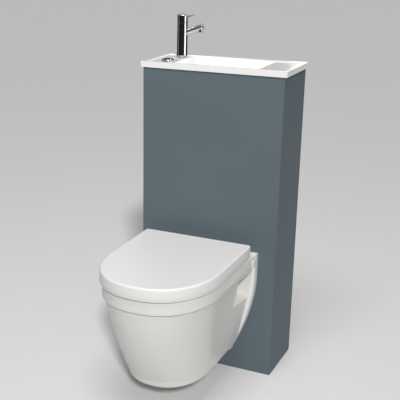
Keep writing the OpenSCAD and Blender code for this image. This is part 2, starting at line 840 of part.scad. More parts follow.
// Copper pipe with elbows, to the fill valve and on to the tap
module supply_pipe() {
  riser_y = stop_riser_y;
  top_z = casing_h - 58;
  tank_end = frame_x + tank_w / 2 + 10;
  color(copper) {
    translate([stop_x, riser_y, stop_z + stop_outlet_h])
      cylinder(r = supply_r, h = top_z - stop_z - stop_outlet_h);
    translate([tap_x, riser_y, top_z]) rotate([0, 90, 0]) cylinder(r = supply_r, h = stop_x - tap_x);
    translate([tank_end, valve_y, fill_z]) rotate([0, 90, 0]) cylinder(r = supply_r, h = stop_x - tank_end);
    translate([stop_x, 0, fill_z]) y_cylinder(supply_r, valve_y, riser_y);
    translate([tap_x, 0, top_z]) y_cylinder(supply_r, tap_y, riser_y);
    translate([tap_x, tap_y, top_z]) cylinder(r = supply_r, h = deck_z - shank_l - top_z);
  }
  color(brass) {
    translate([stop_x, riser_y, top_z]) sphere(r = supply_r + 3);
    translate([stop_x, riser_y, fill_z]) sphere(r = supply_r + 3);
    translate([stop_x, valve_y, fill_z]) sphere(r = supply_r + 3);
    translate([tap_x, riser_y, top_z]) sphere(r = supply_r + 3);
    translate([tap_x, tap_y, top_z]) sphere(r = supply_r + 3);
  }
}

// The pan's pipes
module flush_pipe() {
  r0 = flush_r - pipe_wall;
  radius = 45;
  color(drain_grey) translate([frame_x, 0, 0]) {
    translate([0, valve_y, inlet_z + radius])
      round_tube(flush_r, r0, tank_z - valve_tail_l - inlet_z - radius);
    translate([0, valve_y - radius, inlet_z + radius]) bend(flush_r, r0, radius);
    translate([0, valve_y - radius, inlet_z]) rotate([90, 0, 0])
      round_tube(flush_r, r0, valve_y - radius - front_y + 36);
  }
}

module flush_pipe_seal() {
  color(rubber) translate([frame_x, front_y - 12, inlet_z]) rotate([90, 0, 0])
    round_tube(flush_r + 2.4, flush_r + 0.1, 20);
}

// The waste bend, with a socket for the pan and a boss for the basin's pipe
module waste_bend() {
  radius = 60;
  socket_y = frame_y + plate_t + 1;
  r0 = drain_r - pipe_wall;
  color(drain_grey) translate([frame_x, 0, 0]) {
    translate([0, socket_y + socket_l, outlet_z]) rotate([90, 0, 0])
      round_tube(spigot_r + pipe_room + socket_wall, spigot_r + pipe_room, socket_l);
    translate([0, socket_y + socket_l + socket_wall, outlet_z]) rotate([90, 0, 0])
      round_tube(spigot_r + pipe_room + socket_wall, r0, socket_wall);
    translate([0, drain_y - radius, outlet_z]) rotate([90, 0, 0])
      round_tube(drain_r, r0, drain_y - radius - socket_y - socket_l - socket_wall);
    translate([0, drain_y - radius, outlet_z - radius]) mirror([0, 0, 1]) bend(drain_r, r0, radius);
    difference() {
      union() {
        translate([0, drain_y, drain_foot_z]) cylinder(r = drain_r - 1, h = drain_end);
        translate([0, drain_y, drain_foot_z + drain_end])
          cylinder(r = drain_r, h = outlet_z - radius - drain_foot_z - drain_end);
        translate([0, drain_y, basin_boss_z]) rotate([0, 90, 0])
          cylinder(r = basin_pipe_r + 4, h = boss_reach);
      }
      translate([0, drain_y, drain_foot_z - 1]) cylinder(r = r0, h = outlet_z - radius - drain_foot_z + 2);
      translate([0, drain_y, basin_boss_z]) rotate([0, 90, 0])
        cylinder(r = basin_pipe_r - pipe_wall, h = boss_reach + 1);
    }
  }
}

module waste_seal() {
  color(rubber) translate([frame_x, frame_y + plate_t + 15, outlet_z]) rotate([90, 0, 0])
    round_tube(spigot_r + pipe_room - 0.1, spigot_r + 0.1, 12);
}

// A strap that holds the waste bend to the bottom rail
module waste_clip() {
  y0 = frame_y + tube_s;
  color(steel) translate([frame_x, 0, bottom_rail_z + 5]) difference() {
    union() {
      translate([0, drain_y, 0]) cylinder(r = drain_r + 3, h = 20);
      translate([-10, y0, 0]) cube([20, drain_y - drain_r - y0, 20]);
      translate([-25, y0, 0]) cube([50, 3, 20]);
    }
    translate([0, drain_y, -1]) cylinder(r = drain_r + 0.1, h = 22);
    translate([0, drain_y - 28, -1]) cube([drain_r + 10, 100, 22]);
  }
}

// The pan's fixings
module hanging_rods() {
  color(steel) for (s = [-1, 1])
    translate([frame_x + s * rod_pitch / 2, 0, rod_z])
      y_cylinder(rod_r, front_y - flange_t - 18, frame_y + plate_t + 16);
}

module rod_nuts() {
  color(steel) for (s = [-1, 1])
    translate([frame_x + s * rod_pitch / 2, 0, rod_z]) {
      translate([0, frame_y + plate_t, 0]) rotate([-90, 0, 0]) hex_nut(19, rod_r + 0.05, 10);
      translate([0, front_y - flange_t - 2, 0]) rotate([90, 0, 0]) hex_nut(19, rod_r + 0.05, 10);
      translate([0, front_y - flange_t, 0]) rotate([90, 0, 0]) round_tube(11.5, rod_r + 0.05, 2);
    }
}

module rod_sleeves() {
  color(plastic_white) for (s = [-1, 1])
    translate([frame_x + s * rod_pitch / 2, front_y, rod_z]) rotate([90, 0, 0])
      round_tube(rod_r + 2.5, rod_r + 0.2, flange_t);
}

// Half width of the flange's outline at a height
function flange_half(z) = z > flange_bend_z ? pan_half
  : pan_half - flange_draw * pow((flange_bend_z - z) / flange_bend_h, 1.8);

// Share of the way down from the rim band to the lower edge
function down(z) = min(1, max(0, (seam_z - z) / (seam_z - pan_bottom - bottom_r)));

// The body's half width at the casing, its half width at the front curve, and its front
function body_back(z) = pan_half - band_step - 2 - back_draw * pow(down(z), 1.9);
function body_half(z) = rim_half - band_step + (bottom_half - rim_half + band_step) * pow(down(z), 0.76);
function body_front(z) =
  let (top = pan_front - 3 * band_step) top + (bottom_front - top) * pow(down(z), 1.68);
function body_curve(z) = curve_v - curve_draw * down(z);

// A ring of the pan: flat on the casing, sides that run smoothly into a superelliptic front
function pan_ring(back, half, v0, v1) =
  let (steps = 30, side = [for (t = [0:0.25:0.75]) [half + (back - half) * pow(1 - t, 2), v0 * t]])
  concat(
    [for (k = [3:-1:0]) [-side[k][0], side[k][1]]],
    side,
    front_curve(half, v0, v1, curve_n, steps)
  );

function body_ring(z, inset) =
  pan_ring(body_back(z) - inset, body_half(z) - inset, body_curve(z) - inset / 2, body_front(z) - inset);

function band_ring(inset) =
  pan_ring(pan_half - inset, rim_half - inset, curve_v, pan_front - inset);

// The pan's outside, from its rounded lower edge up to its rounded rim
module pan_outside() {
  edge = [for (a = [0:22.5:90]) bottom_r * [1 - sin(a), 1 - cos(a)]];
  body_z = [for (k = [1:9]) pan_bottom + bottom_r + (seam_z - pan_bottom - bottom_r) * k / 9];
  lip = [for (a = [0:22.5:90]) rim_round * [1 - cos(a), sin(a) - 1]];
  rings = concat(
    [for (e = edge) body_ring(pan_bottom + bottom_r, e[0])],
    [for (z = body_z) body_ring(z, 0)],
    [band_ring(1), band_ring(0)],
    [for (e = lip) band_ring(e[0])]
  );
  heights = concat(
    [for (e = edge) pan_bottom + e[1]],
    body_z,
    [seam_z + 0.6, seam_z + 1.6],
    [for (e = lip) rim_z + e[1]]
  );
  loft(rings, heights);
}

// The flange against the casing, as an outline that narrows downwards
module pan_flange() {
  z1 = flange_z1;
  z0 = flange_z0;
  r = flange_corner;
  right = [for (k = [0:16]) let (z = z1 + (z0 - z1) * k / 16) [flange_half(z), z]];
  foot = arc([flange_half(z0) - r, z0], r, 0, -90, 5);
  rotate([90, 0, 0]) mirror([0, 0, 1]) linear_extrude(flange_t) polygon(concat(
    right, foot, [for (k = [len(foot) - 1:-1:0]) [-foot[k][0], foot[k][1]]],
    [for (k = [16:-1:0]) [-right[k][0], right[k][1]]]
  ));
}

// The raised deck behind the seat, with rounded edges
module pan_deck() {
  r = deck_round;
  top = rim_z + deck_rise;
  side = [[0, rim_z - 12], [deck_l, rim_z - 12], [deck_l, top - r]];
  profile = concat(side, arc([deck_l - r, top - r], r, 0, 90, 6), [[0, top]]);
  intersection() {
    translate([-pan_half, 0, 0]) rotate([90, 0, 90]) linear_extrude(2 * pan_half) polygon(profile);
    linear_extrude(top + 1) polygon(concat(
      [[-pan_half, 0], [pan_half, 0]],
      [[pan_half - deck_taper, deck_l + 1], [-pan_half + deck_taper, deck_l + 1]]
    ));
  }
}

// The inside of the bowl, or that room grown on every side, with the sump at the back
module bowl_inside(grow = 0) {
  mouth_mid = (mouth_back + pan_front - mouth_lip) / 2;
  mouth_reach = (pan_front - mouth_lip - mouth_back) / 2;
  shares = [0, 0.12, 0.25, 0.4, 0.55, 0.7, 0.84, 0.94, 1];
  rings = [for (k = shares)
    oval(
      24 + grow + (mouth_half - 24) * pow(max(0, 1 - pow(1 - k, 2.6)), 0.62),
      mouth_mid - 82 * pow(1 - k, 1.5),
      30 + grow + (mouth_reach - 30) * pow(max(0, 1 - pow(1 - k, 2.2)), 0.72),
      2.3 - 0.3 * (1 - k), 36)];
  heights = [for (k = shares) rim_z - bowl_depth * (1 - k) - grow];
  loft(concat(rings, [rings[len(shares) - 1]]), concat(heights, [rim_z + 5]));
}

// The outside of the bowl's wall, and of the wall round the trapway and the outlet
module bowl_wall() {
  w = cast_wall;
  bowl_inside(w);
  translate([0, 0, outlet_z]) y_cylinder(outlet_bore_r + w, -outlet_reach - 5, outlet_bore_l + w);
  trapway(trapway_r + w, trapway_l + w);
}

// The rising bore from the bowl's sump over the water seal
module trapway(r, l) {
  translate([0, trap_v, trap_floor_z]) rotate([trapway_tilt, 0, 0]) cylinder(r = r, h = l);
}

// The hollow a cast pan has behind its outside, open at the back
module pan_hollow() {
  w = cast_wall;
  z0 = pan_bottom + w + 4;
  z1 = seam_z - 8;
  heights = [for (k = [0:5]) z0 + (z1 - z0) * k / 5];
  difference() {
    loft([for (z = heights) body_ring(z, z < pan_bottom + bottom_r ? w + 8 : w)], heights);
    translate([-pan_half, -1, z0 - 1]) cube([2 * pan_half, 15, z1 - z0 + 2]);
    translate([0, 0, inlet_z]) y_cylinder(flush_bore_r + w, 0, rim_way_end);
    for (s = [-1, 1])
      translate([s * (pan_half + pocket_back_x - 10 - w) - pan_half, 0, pocket_floor_z - w])
        cube([2 * pan_half, pocket_front_v + 10, 140]);
  }
  for (s = [-1, 1])
    translate([s * 70 - 22, -1, pan_bottom + 34]) cube([44, 40, 46]);
}

// The pocket in each flank that gives a hand room at the hanging rods
module side_pocket(s) {
  outline = concat(
    [[flange_t, pocket_floor_z - 2], [flange_t, pocket_roof_z]],
    [[mouth_back + 36, pocket_roof_z]],
    arc([mouth_back + 58, pocket_floor_z + 8], 6, 10, -80, 4)
  );
  intersection() {
    rotate([90, 0, 90]) linear_extrude(2 * pan_half, center = true) polygon(outline);
    linear_extrude(rim_z) polygon([
      [s * pocket_back_x, flange_t - 1], [s * pocket_back_x, pocket_back_v],
      [s * pocket_front_x, pocket_front_v], [s * (pan_half + 5), pocket_front_v],
      [s * (pan_half + 5), flange_t - 1]
    ]);
  }
}

// The whole outer form of the pan: body, flange, deck and outlet
module pan_form() {
  pan_outside();
  pan_flange();
  pan_deck();
  translate([0, 0, outlet_z]) y_cylinder(spigot_r, -outlet_reach, 5);
}

// All that is bored or left open in the pan, apart from the hollow of the casting
module pan_rooms() {
  bowl_inside();
  side_pocket(1);
  side_pocket(-1);
  translate([0, 0, outlet_z]) y_cylinder(outlet_bore_r, -outlet_reach - 1, outlet_bore_l);
  trapway(trapway_r, trapway_l);
  translate([0, 0, inlet_z]) y_cylinder(flush_bore_r, -1, flush_bore_l);
  translate([0, 0, inlet_z]) y_cylinder(rim_way_r, flush_bore_l - 6, rim_way_end);
  for (s = [-1, 1]) {
    translate([s * rod_pitch / 2, 0, rod_z]) y_cylinder(rod_r + 3, -1, flange_t + 1);
    translate([s * hinge_pitch / 2, hinge_v, rim_z - hinge_screw_l - 4])
      cylinder(r = hinge_screw_r + hole_gap, h = hinge_screw_l + 5);
  }
}

// A flat layer of space round the pan, from one height to another
module pan_layer(z0, z1) {
  translate([-pan_half - 1, -outlet_reach - 6, z0])
    cube([2 * pan_half + 2, pan_front + outlet_reach + 7, z1 - z0]);
}

// The ceramic pan is cast in three pieces that are joined before firing.
// The first is the outer wall with its flange and pockets, up to the rim band.
module pan() {
  color(white) at_pan() difference() {
    intersection() {
      pan_form();
      pan_layer(0, seam_z);
    }
    pan_hollow();
    bowl_wall();
    pan_rooms();
  }
}

// The second piece of the pan: the rim band with the deck and the mouth of the bowl
module pan_rim() {
  color(white) at_pan() difference() {
    intersection() {
      pan_form();
      pan_layer(seam_z, rim_z + deck_rise + 1);
    }
    pan_rooms();
  }
}

// The third piece of the pan: the bowl with its sump, trapway and outlet
module pan_bowl() {
  color(white) at_pan() difference() {
    intersection() {
      pan_form();
      bowl_wall();
      pan_layer(0, seam_z);
    }
    pan_rooms();
  }
}

// Posts on the pan with a cross pin through the seat and the lid
module hinge_posts() {
  color(chrome) at_pan() for (s = [-1, 1]) translate([s * hinge_pitch / 2, hinge_v, 0]) {
    translate([0, 0, rim_z - hinge_screw_l]) cylinder(r = hinge_screw_r, h = hinge_screw_l + 1);
    translate([0, 0, rim_z]) cylinder(r = hinge_base_r, h = hinge_base_t);
    translate([0, 0, rim_z + hinge_base_t / 2]) cylinder(r = post_r - 1, h = hinge_h - hinge_base_t / 2);
    translate([-post_r, 0, hinge_z]) rotate([0, 90, 0]) cylinder(r = post_r, h = 2 * post_r);
    translate([-pin_half, 0, hinge_z]) rotate([0, 90, 0]) cylinder(r = hinge_pin_r, h = 2 * pin_half);
  }
}

// A ring of the seat or the lid: straight back with round corners, superelliptic front
function lid_ring(inset, back) =
  let (half = lid_half - inset, r = max(2, lid_corner - inset), v = back)
  concat(
    arc([-half + r, v + r], r, 180, 270, 4),
    arc([half - r, v + r], r, 270, 360, 4),
    front_curve(half, curve_v, lid_front - inset, curve_n, 32)
  );

// What lies below the hinge axis outside a circle round it, drawn from wall to side
module below_axis(r, reach) {
  a0 = reach > hinge_v ? 300 : 270;
  rotate([90, 0, 90]) linear_extrude(4 * pan_half, center = true) polygon(concat(
    [[lid_back - 9, rim_z - 9], [reach, rim_z - 9], [reach, hinge_z + r * sin(a0)]],
    arc([hinge_v, hinge_z], r, a0, 180, 8), [[lid_back - 9, hinge_z]]
  ));
}

// The seat, with an oval opening, notches round the posts and bores for the pins
module seat_ring() {
  inset = seat_inset;
  back = lid_back + skirt_t + 1;
  mid = (mouth_back + pan_front - mouth_lip) / 2 + 3;
  reach = (pan_front - mouth_lip - mouth_back) / 2 - 8;
  round_r = seat_round;
  edge = [for (a = [0:22.5:90]) round_r * [1 - cos(a), sin(a) - 1]];
  hole = [for (a = [0:22.5:90]) round_r * [cos(a) - 1, sin(a) - 1]];
  color(white) at_pan() difference() {
    loft(
      concat([lid_ring(inset, back)], [for (e = edge) lid_ring(inset + e[0], back + e[0])]),
      concat([seat_z], [for (e = edge) seat_z + seat_t + e[1]])
    );
    loft(
      concat(
        [oval(hole_half, mid, reach, 2.3, 40)],
        [for (e = hole) oval(hole_half - e[0], mid, reach - e[0], 2.3, 40)],
        [oval(hole_half + round_r, mid, reach + round_r, 2.3, 40)]
      ),
      concat([seat_z - 1], [for (e = hole) seat_z + seat_t + e[1]], [seat_z + seat_t + 1])
    );
    below_axis(heel_r, hinge_v + heel_r + 4.5);
    for (s = [-1, 1]) translate([s * hinge_pitch / 2, hinge_v, 0]) {
      translate([-notch_half, -30, seat_z - 1]) cube([2 * notch_half, 50, seat_t + 2]);
      translate([-pin_half - 1, 0, hinge_z]) rotate([0, 90, 0])
        cylinder(r = hinge_pin_r + turn_gap, h = 2 * (pin_half + 1));
    }
  }
}

module seat_pads() {
  color(rubber) at_pan() for (s = [-1, 1]) for (p = pad_places)
    translate([s * p[0], p[1], rim_z + move_gap]) cylinder(r = seat_pad_r, h = pad_h);
}

// The lid, with a skirt that wraps round the seat and four ears on the pins
module lid() {
  edge = [for (a = [0:18:90]) lid_edge * [1 - cos(a), sin(a) - 1]];
  color(white) at_pan() difference() {
    union() {
      difference() {
        loft(
          concat([lid_ring(0.8, lid_back + 0.8), lid_ring(0, lid_back)],
            [for (e = edge) lid_ring(e[0], lid_back + e[0])]),
          concat([lid_z0, lid_z0 + 0.8], [for (e = edge) lid_z1 + e[1]])
        );
        loft(
          [lid_ring(skirt_t, lid_back + skirt_t), lid_ring(skirt_t + 0.5, lid_back + skirt_t)],
          [lid_z0 - 1, cavity_z]
        );
        below_axis(lid_swing_r, hinge_v);
        for (s = [-1, 1])
          translate([s * hinge_pitch / 2 - post_r - 1.5, lid_back - 1, lid_z0 - 1])
            cube([2 * post_r + 3, skirt_t + 2, hinge_z + 10 - lid_z0]);
      }
      for (s = [-1, 1]) for (k = [-1, 1])
        translate([s * hinge_pitch / 2 + k * ear_x - ear_t / 2, hinge_v, hinge_z]) {
          rotate([0, 90, 0]) cylinder(r = post_r, h = ear_t);
          translate([0, -post_r, 0]) cube([ear_t, 2 * post_r, cavity_z - hinge_z + 1]);
        }
    }
    for (s = [-1, 1]) translate([s * hinge_pitch / 2, hinge_v, hinge_z]) rotate([0, 90, 0])
      cylinder(r = hinge_pin_r + turn_gap, h = 2 * notch_half, center = true);
  }
}

module lid_pads() {
  z0 = seat_z + seat_t + move_gap;
  color(rubber) at_pan() for (s = [-1, 1]) for (p = pad_places)
    translate([s * p[0], p[1], z0]) cylinder(r = lid_pad_r, h = cavity_z - z0);
}

// The trough's room: wide at the deck, drawn in where it passes the casing, ramped at the left
module trough_room() {
  step_z = casing_h - 0.5;
  hull() {
    translate([trough_x0, basin_y + rim_w, deck_z])
      cube([trough_x1 - trough_x0, -basin_y - rim_w - rim_back, 5]);
    translate([trough_waist_x0, trough_y0, step_z]) cube([trough_waist_l, trough_y1 - trough_y0, 0.5]);
  }
  hull() {
    translate([trough_waist_x0, trough_y0, step_z]) cube([trough_waist_l, trough_y1 - trough_y0, 0.5]);
    translate([trough_x0 + ramp_l, trough_y0 + trough_draw, trough_floor])
      cube([trough_floor_l, trough_y1 - trough_y0 - 2 * trough_draw, 0.5]);
  }
}

// The outside of the trough below the slab
module trough_outside() {
  w = trough_wall;
  hull() {
    translate([trough_waist_x0 - w, trough_y0 - w, casing_h - 0.5])
      cube([trough_waist_l + 2 * w, trough_y1 - trough_y0 + 2 * w, 1]);
    translate([trough_x0 + ramp_l - w, trough_y0 + trough_draw - w, trough_floor - w])
      cube([trough_floor_l + 2 * w, trough_y1 - trough_y0 - 2 * (trough_draw - w), 1]);
  }
}

// The one-piece basin, with a sunken deck and a trough
module hand_basin() {
  color(white) difference() {
    union() {
      translate([-basin_half, basin_y, casing_h]) cube([2 * basin_half, -basin_y, slab_t]);
      trough_outside();
    }
    translate([-basin_half + rim_w, basin_y + rim_w, deck_z])
      cube([2 * (basin_half - rim_w), -basin_y - rim_w - rim_back, deck_sink + 1]);
    trough_room();
    translate([waste_x, waste_y, trough_floor - 4]) cylinder(r = waste_flange_r + hole_gap, h = 10);
    translate([waste_x, waste_y, trough_floor - trough_wall - 1])
      cylinder(r = basin_pipe_r + hole_gap, h = 12);
    translate([tap_x, tap_y, casing_h - 1]) cylinder(r = shank_r + bolt_room, h = slab_t + 2);
    translate([button_x, button_y, casing_h - 1]) cylinder(r = button_r + 2 + hole_gap, h = slab_t + 2);
  }
}

// The waste grid in the trough's floor, with its threaded tail
module basin_waste() {
  color(chrome) translate([waste_x, waste_y, 0]) difference() {
    union() {
      translate([0, 0, trough_floor - 4]) cylinder(r = waste_flange_r, h = 5);
      translate([0, 0, trough_floor - waste_tail_l]) cylinder(r = basin_pipe_r, h = waste_tail_l - 2);
    }
    translate([0, 0, trough_floor - waste_tail_l - 1])
      cylinder(r = basin_pipe_r - 2.5, h = waste_tail_l - 2);
    for (a = [0:60:300])
      rotate([0, 0, a]) translate([8.5, 0, trough_floor - 5]) cylinder(r = grid_hole_r, h = 8);
    translate([0, 0, trough_floor - 5]) cylinder(r = grid_hole_r, h = 8);
  }
}

module basin_waste_nut() {
  color(chrome) translate([waste_x, waste_y, trough_floor - trough_wall - 10])
    hex_nut(44, basin_pipe_r + 0.1, 10);
}

// The basin's pipe: back to the wall, down behind the cistern and into the waste bend
module basin_pipe() {
  r = basin_pipe_r;
  r0 = r - pipe_wall;
  radius = 20;
  start_z = trough_floor - waste_tail_l;
  run_z = start_z - radius;
  color(plastic_white) {
    translate([waste_x, waste_y + radius, start_z]) mirror([0, 1, 0]) bend(r, r0, radius);
    translate([waste_x, drain_y - radius, run_z]) rotate([90, 0, 0])
      round_tube(r, r0, drain_y - 2 * radius - waste_y);
    translate([waste_x, drain_y - radius, run_z - radius]) mirror([0, 0, 1]) bend(r, r0, radius);
    translate([waste_x, drain_y, basin_boss_z + radius]) round_tube(r, r0, trap_z - basin_boss_z - radius);
    translate([waste_x, drain_y, trap_z + trap_l]) round_tube(r, r0, run_z - radius - trap_z - trap_l);
    translate([waste_x - radius, drain_y, basin_boss_z + radius]) rotate([0, 0, -90]) bend(r, r0, radius);
    translate([frame_x + boss_reach, drain_y, basin_boss_z]) rotate([0, 90, 0])
      round_tube(r, r0, waste_x - radius - frame_x - boss_reach);
  }
}

// A straight trap in the basin's pipe
module basin_trap() {
  color(plastic_white) translate([waste_x, drain_y, trap_z]) difference() {
    union() {
      cylinder(r = basin_pipe_r + 3, h = trap_l);
      translate([0, 0, 15]) cylinder(r = basin_pipe_r + 8, h = trap_l - 30);
    }
    translate([0, 0, -1]) cylinder(r = basin_pipe_r - pipe_wall, h = trap_l + 2);
  }
}

// The tap's body, with its rising spout and threaded shank
module tap_body() {
  color(chrome) translate([tap_x, tap_y, deck_z]) difference() {
    union() {
      translate([0, 0, gasket_t]) cylinder(r = tap_r + 1.5, h = 4);
      translate([0, 0, gasket_t]) cylinder(r = tap_r, h = tap_body_h - gasket_t);
      translate([0, 0, -shank_l]) cylinder(r = shank_r, h = shank_l + 2);
      translate([0, 0, spout_z]) rotate([0, 90 - spout_rise, 0]) cylinder(r = spout_r, h = spout_l);
      translate([outlet_dx, 0, outlet_dz]) cylinder(r = outlet_r, h = spout_r + outlet_drop);
    }
    translate([0, 0, -shank_l - 1]) cylinder(r = supply_r + 1, h = 30);
    translate([0, 0, tap_body_h - spindle_l - 1]) cylinder(r = spindle_r + turn_gap, h = spindle_l + 2);
  }
}

module tap_gasket() {
  color(rubber) translate([tap_x, tap_y, deck_z]) round_tube(tap_r + 0.5, shank_r + 0.1, gasket_t);
}

module tap_nut() {
  color(brass) translate([tap_x, tap_y, casing_h - 10]) hex_nut(32, shank_r + 0.1, 10);
}

// The aerator on the spout's outlet
module tap_aerator() {
  color(chrome) translate([tap_x + outlet_dx, tap_y, deck_z + outlet_dz]) difference() {
    translate([0, 0, -4]) cylinder(r = outlet_r + 0.5, h = 4);
    translate([0, 0, -5]) cylinder(r = outlet_r - 2, h = 3);
  }
}

// The turning cap with its spindle and pin lever
module tap_handle() {
  z0 = tap_body_h + cap_gap;
  color(chrome) translate([tap_x, tap_y, deck_z]) {
    difference() {
      union() {
        translate([0, 0, z0]) cylinder(r = tap_r, h = cap_h - cap_bevel);
        translate([0, 0, z0 + cap_h - cap_bevel]) cylinder(r1 = tap_r, r2 = tap_r - 2.5, h = cap_bevel);
      }
      translate([0, 0, z0 - 1]) cylinder(r = tap_r - 3, h = 5);
    }
    translate([0, 0, tap_body_h - spindle_l]) cylinder(r = spindle_r, h = spindle_l + 6);
    translate([0, 0, z0 + 11]) rotate([0, 90 - pin_rise, 0]) cylinder(r = pin_r, h = pin_l);
  }
}

// The chrome ring in the deck, with a web below that carries the springs
module button_ring() {
  color(chrome) translate([button_x, button_y, 0]) difference() {
    union() {
      translate([0, 0, deck_z]) cylinder(r = ring_r, h = ring_h - button_bevel);
      translate([0, 0, deck_z + ring_h - button_bevel])
        cylinder(r1 = ring_r, r2 = ring_r - button_bevel, h = button_bevel);
      translate([0, 0, spring_web_z - spring_web_t])
        cylinder(r = button_r + 2, h = deck_z - spring_web_z + spring_web_t + 1);
    }
    translate([0, 0, spring_web_z]) cylinder(r = button_r + move_gap, h = 80);
    for (y = [full_lever_y, half_lever_y])
      translate([0, y - button_y, spring_web_z - spring_web_t - 1])
        cylinder(r = stem_r + move_gap, h = spring_web_t + 2);
  }
}

// One half of the split button, cut along a line across the ring, with its stem
module split_button(low, high, stem_y) {
  z0 = deck_z - button_sink;
  top = deck_z + ring_h + button_rise;
  foot = pivot_z + lever_t / 2 + move_gap;
  color(chrome) translate([button_x, button_y, 0]) {
    intersection() {
      union() {
        translate([0, 0, z0]) cylinder(r = button_r, h = top - z0 - button_bevel);
        translate([0, 0, top - button_bevel])
          cylinder(r1 = button_r, r2 = button_r - button_bevel, h = button_bevel);
      }
      translate([-30, low, z0 - 1]) cube([60, high - low, 60]);
    }
    translate([0, stem_y - button_y, foot]) cylinder(r = stem_r, h = z0 + 1 - foot);
  }
}

module full_flush_button() {
  split_button(-30, 2, full_lever_y);
}

module half_flush_button() {
  split_button(2.6, 30, half_lever_y);
}

// Points round one turn of wire at a place along a helix
function coil_ring(r, wire, pitch, a, z) =
  [for (i = [0:5]) let (b = 60 * i)
    [(r + wire * cos(b)) * cos(a), (r + wire * cos(b)) * sin(a), z + pitch * a / 360 + wire * sin(b)]];

// A compression spring, as one tube swept along a helix
module spring(r, wire, length, turns) {
  steps = turns * 12;
  pitch = (length - 2 * wire) / turns;
  rings = [for (k = [0:steps]) coil_ring(r, wire, pitch, 30 * k, wire)];
  points = [for (q = rings) each q];
  sides = [for (k = [0:steps - 1]) for (i = [0:5])
    let (j = (i + 1) % 6)
    each [[k * 6 + i, (k + 1) * 6 + i, (k + 1) * 6 + j], [k * 6 + i, (k + 1) * 6 + j, k * 6 + j]]];
  polyhedron(points, concat(sides, [[for (i = [0:5]) i]], [[for (i = [5:-1:0]) steps * 6 + i]]));
}

module button_spring(y) {
  color(steel) translate([button_x, y, spring_web_z])
    spring(stem_r + 1.5, 0.6, deck_z - button_sink - spring_web_z, 6);
}

module full_button_spring() {
  button_spring(full_lever_y);
}

module half_button_spring() {
  button_spring(half_lever_y);
}

casing_front_panel();
casing_left_panel();
casing_right_panel();
rear_rails();
panel_packers();
frame_left_upright();
frame_right_upright();
frame_top_rail();
frame_bottom_rail();
pan_bearing_plate();
frame_feet();
wall_brackets();
cistern_shelf();
cistern_tank();
cistern_cover();
flush_valve_seat();
flush_valve_tower();
flush_valve_nut();
flush_valve_washer();
flush_lift_tube();
flush_seal();
half_flush_slide();
lever_bracket();
full_flush_lever();
half_flush_lever();
fill_valve();
float_arm();
float_cup();
stop_valve();
stop_valve_handle();
supply_pipe();
flush_pipe();
flush_pipe_seal();
waste_bend();
waste_seal();
waste_clip();
hanging_rods();
rod_nuts();
rod_sleeves();
pan();
pan_rim();
pan_bowl();
hinge_posts();
seat_ring();
seat_pads();
lid();
lid_pads();
hand_basin();
basin_waste();
basin_waste_nut();
basin_pipe();
basin_trap();
tap_body();
tap_gasket();
tap_nut();
tap_aerator();
tap_handle();
button_ring();
full_flush_button();
half_flush_button();
full_button_spring();
half_button_spring();
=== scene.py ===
import json
from math import copysign, cos, pi, radians, sin

import bmesh
import bpy
from mathutils import Matrix, Vector

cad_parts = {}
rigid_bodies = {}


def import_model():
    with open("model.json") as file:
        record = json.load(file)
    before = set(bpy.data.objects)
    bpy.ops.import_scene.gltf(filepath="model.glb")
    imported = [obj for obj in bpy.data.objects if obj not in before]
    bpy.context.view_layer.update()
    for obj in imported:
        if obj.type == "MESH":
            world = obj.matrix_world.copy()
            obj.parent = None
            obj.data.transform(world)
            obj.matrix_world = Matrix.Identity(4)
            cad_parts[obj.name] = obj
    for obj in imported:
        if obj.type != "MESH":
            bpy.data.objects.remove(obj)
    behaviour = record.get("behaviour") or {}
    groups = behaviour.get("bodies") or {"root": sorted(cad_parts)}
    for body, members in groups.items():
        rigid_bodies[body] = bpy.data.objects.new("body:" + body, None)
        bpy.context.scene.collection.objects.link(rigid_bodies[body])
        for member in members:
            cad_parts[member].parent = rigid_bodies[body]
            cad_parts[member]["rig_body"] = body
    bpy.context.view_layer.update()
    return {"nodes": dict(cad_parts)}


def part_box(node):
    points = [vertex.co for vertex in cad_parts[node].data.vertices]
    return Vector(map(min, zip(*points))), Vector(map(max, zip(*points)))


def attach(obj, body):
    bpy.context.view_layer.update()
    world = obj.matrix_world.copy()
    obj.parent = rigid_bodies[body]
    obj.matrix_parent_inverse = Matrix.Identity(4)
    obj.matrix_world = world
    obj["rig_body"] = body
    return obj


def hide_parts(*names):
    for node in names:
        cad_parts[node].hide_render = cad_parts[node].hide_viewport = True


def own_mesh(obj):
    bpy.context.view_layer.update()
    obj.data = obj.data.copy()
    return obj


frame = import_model()
nodes = frame["nodes"]
mm = 0.001


# The camera stands in front of the toilet, to the right of it and above its seat.
# Its place and angles were worked out from the corners of the casing, basin and lid.
camera_place = Vector((977.6, -2613.9, 1374.0)) * mm
camera_tilt = radians(71.2)
camera_heading = radians(26.79)
camera_lens = 78.04
camera_sensor = 36
camera_shift = (0.1494, 0.0514)
sight = 200.0


def put_in_scene(name, data):
    made = bpy.data.objects.new(name, data)
    bpy.context.scene.collection.objects.link(made)
    return made


camera = put_in_scene("camera", bpy.data.cameras.new("camera"))
camera.location = camera_place
camera.rotation_euler = (camera_tilt, 0, camera_heading)
camera.data.lens = camera_lens
camera.data.sensor_width = camera_sensor
camera.data.shift_x, camera.data.shift_y = camera_shift
camera.data.clip_end = sight
bpy.context.scene.camera = camera
bpy.context.scene.view_settings.view_transform = "Standard"


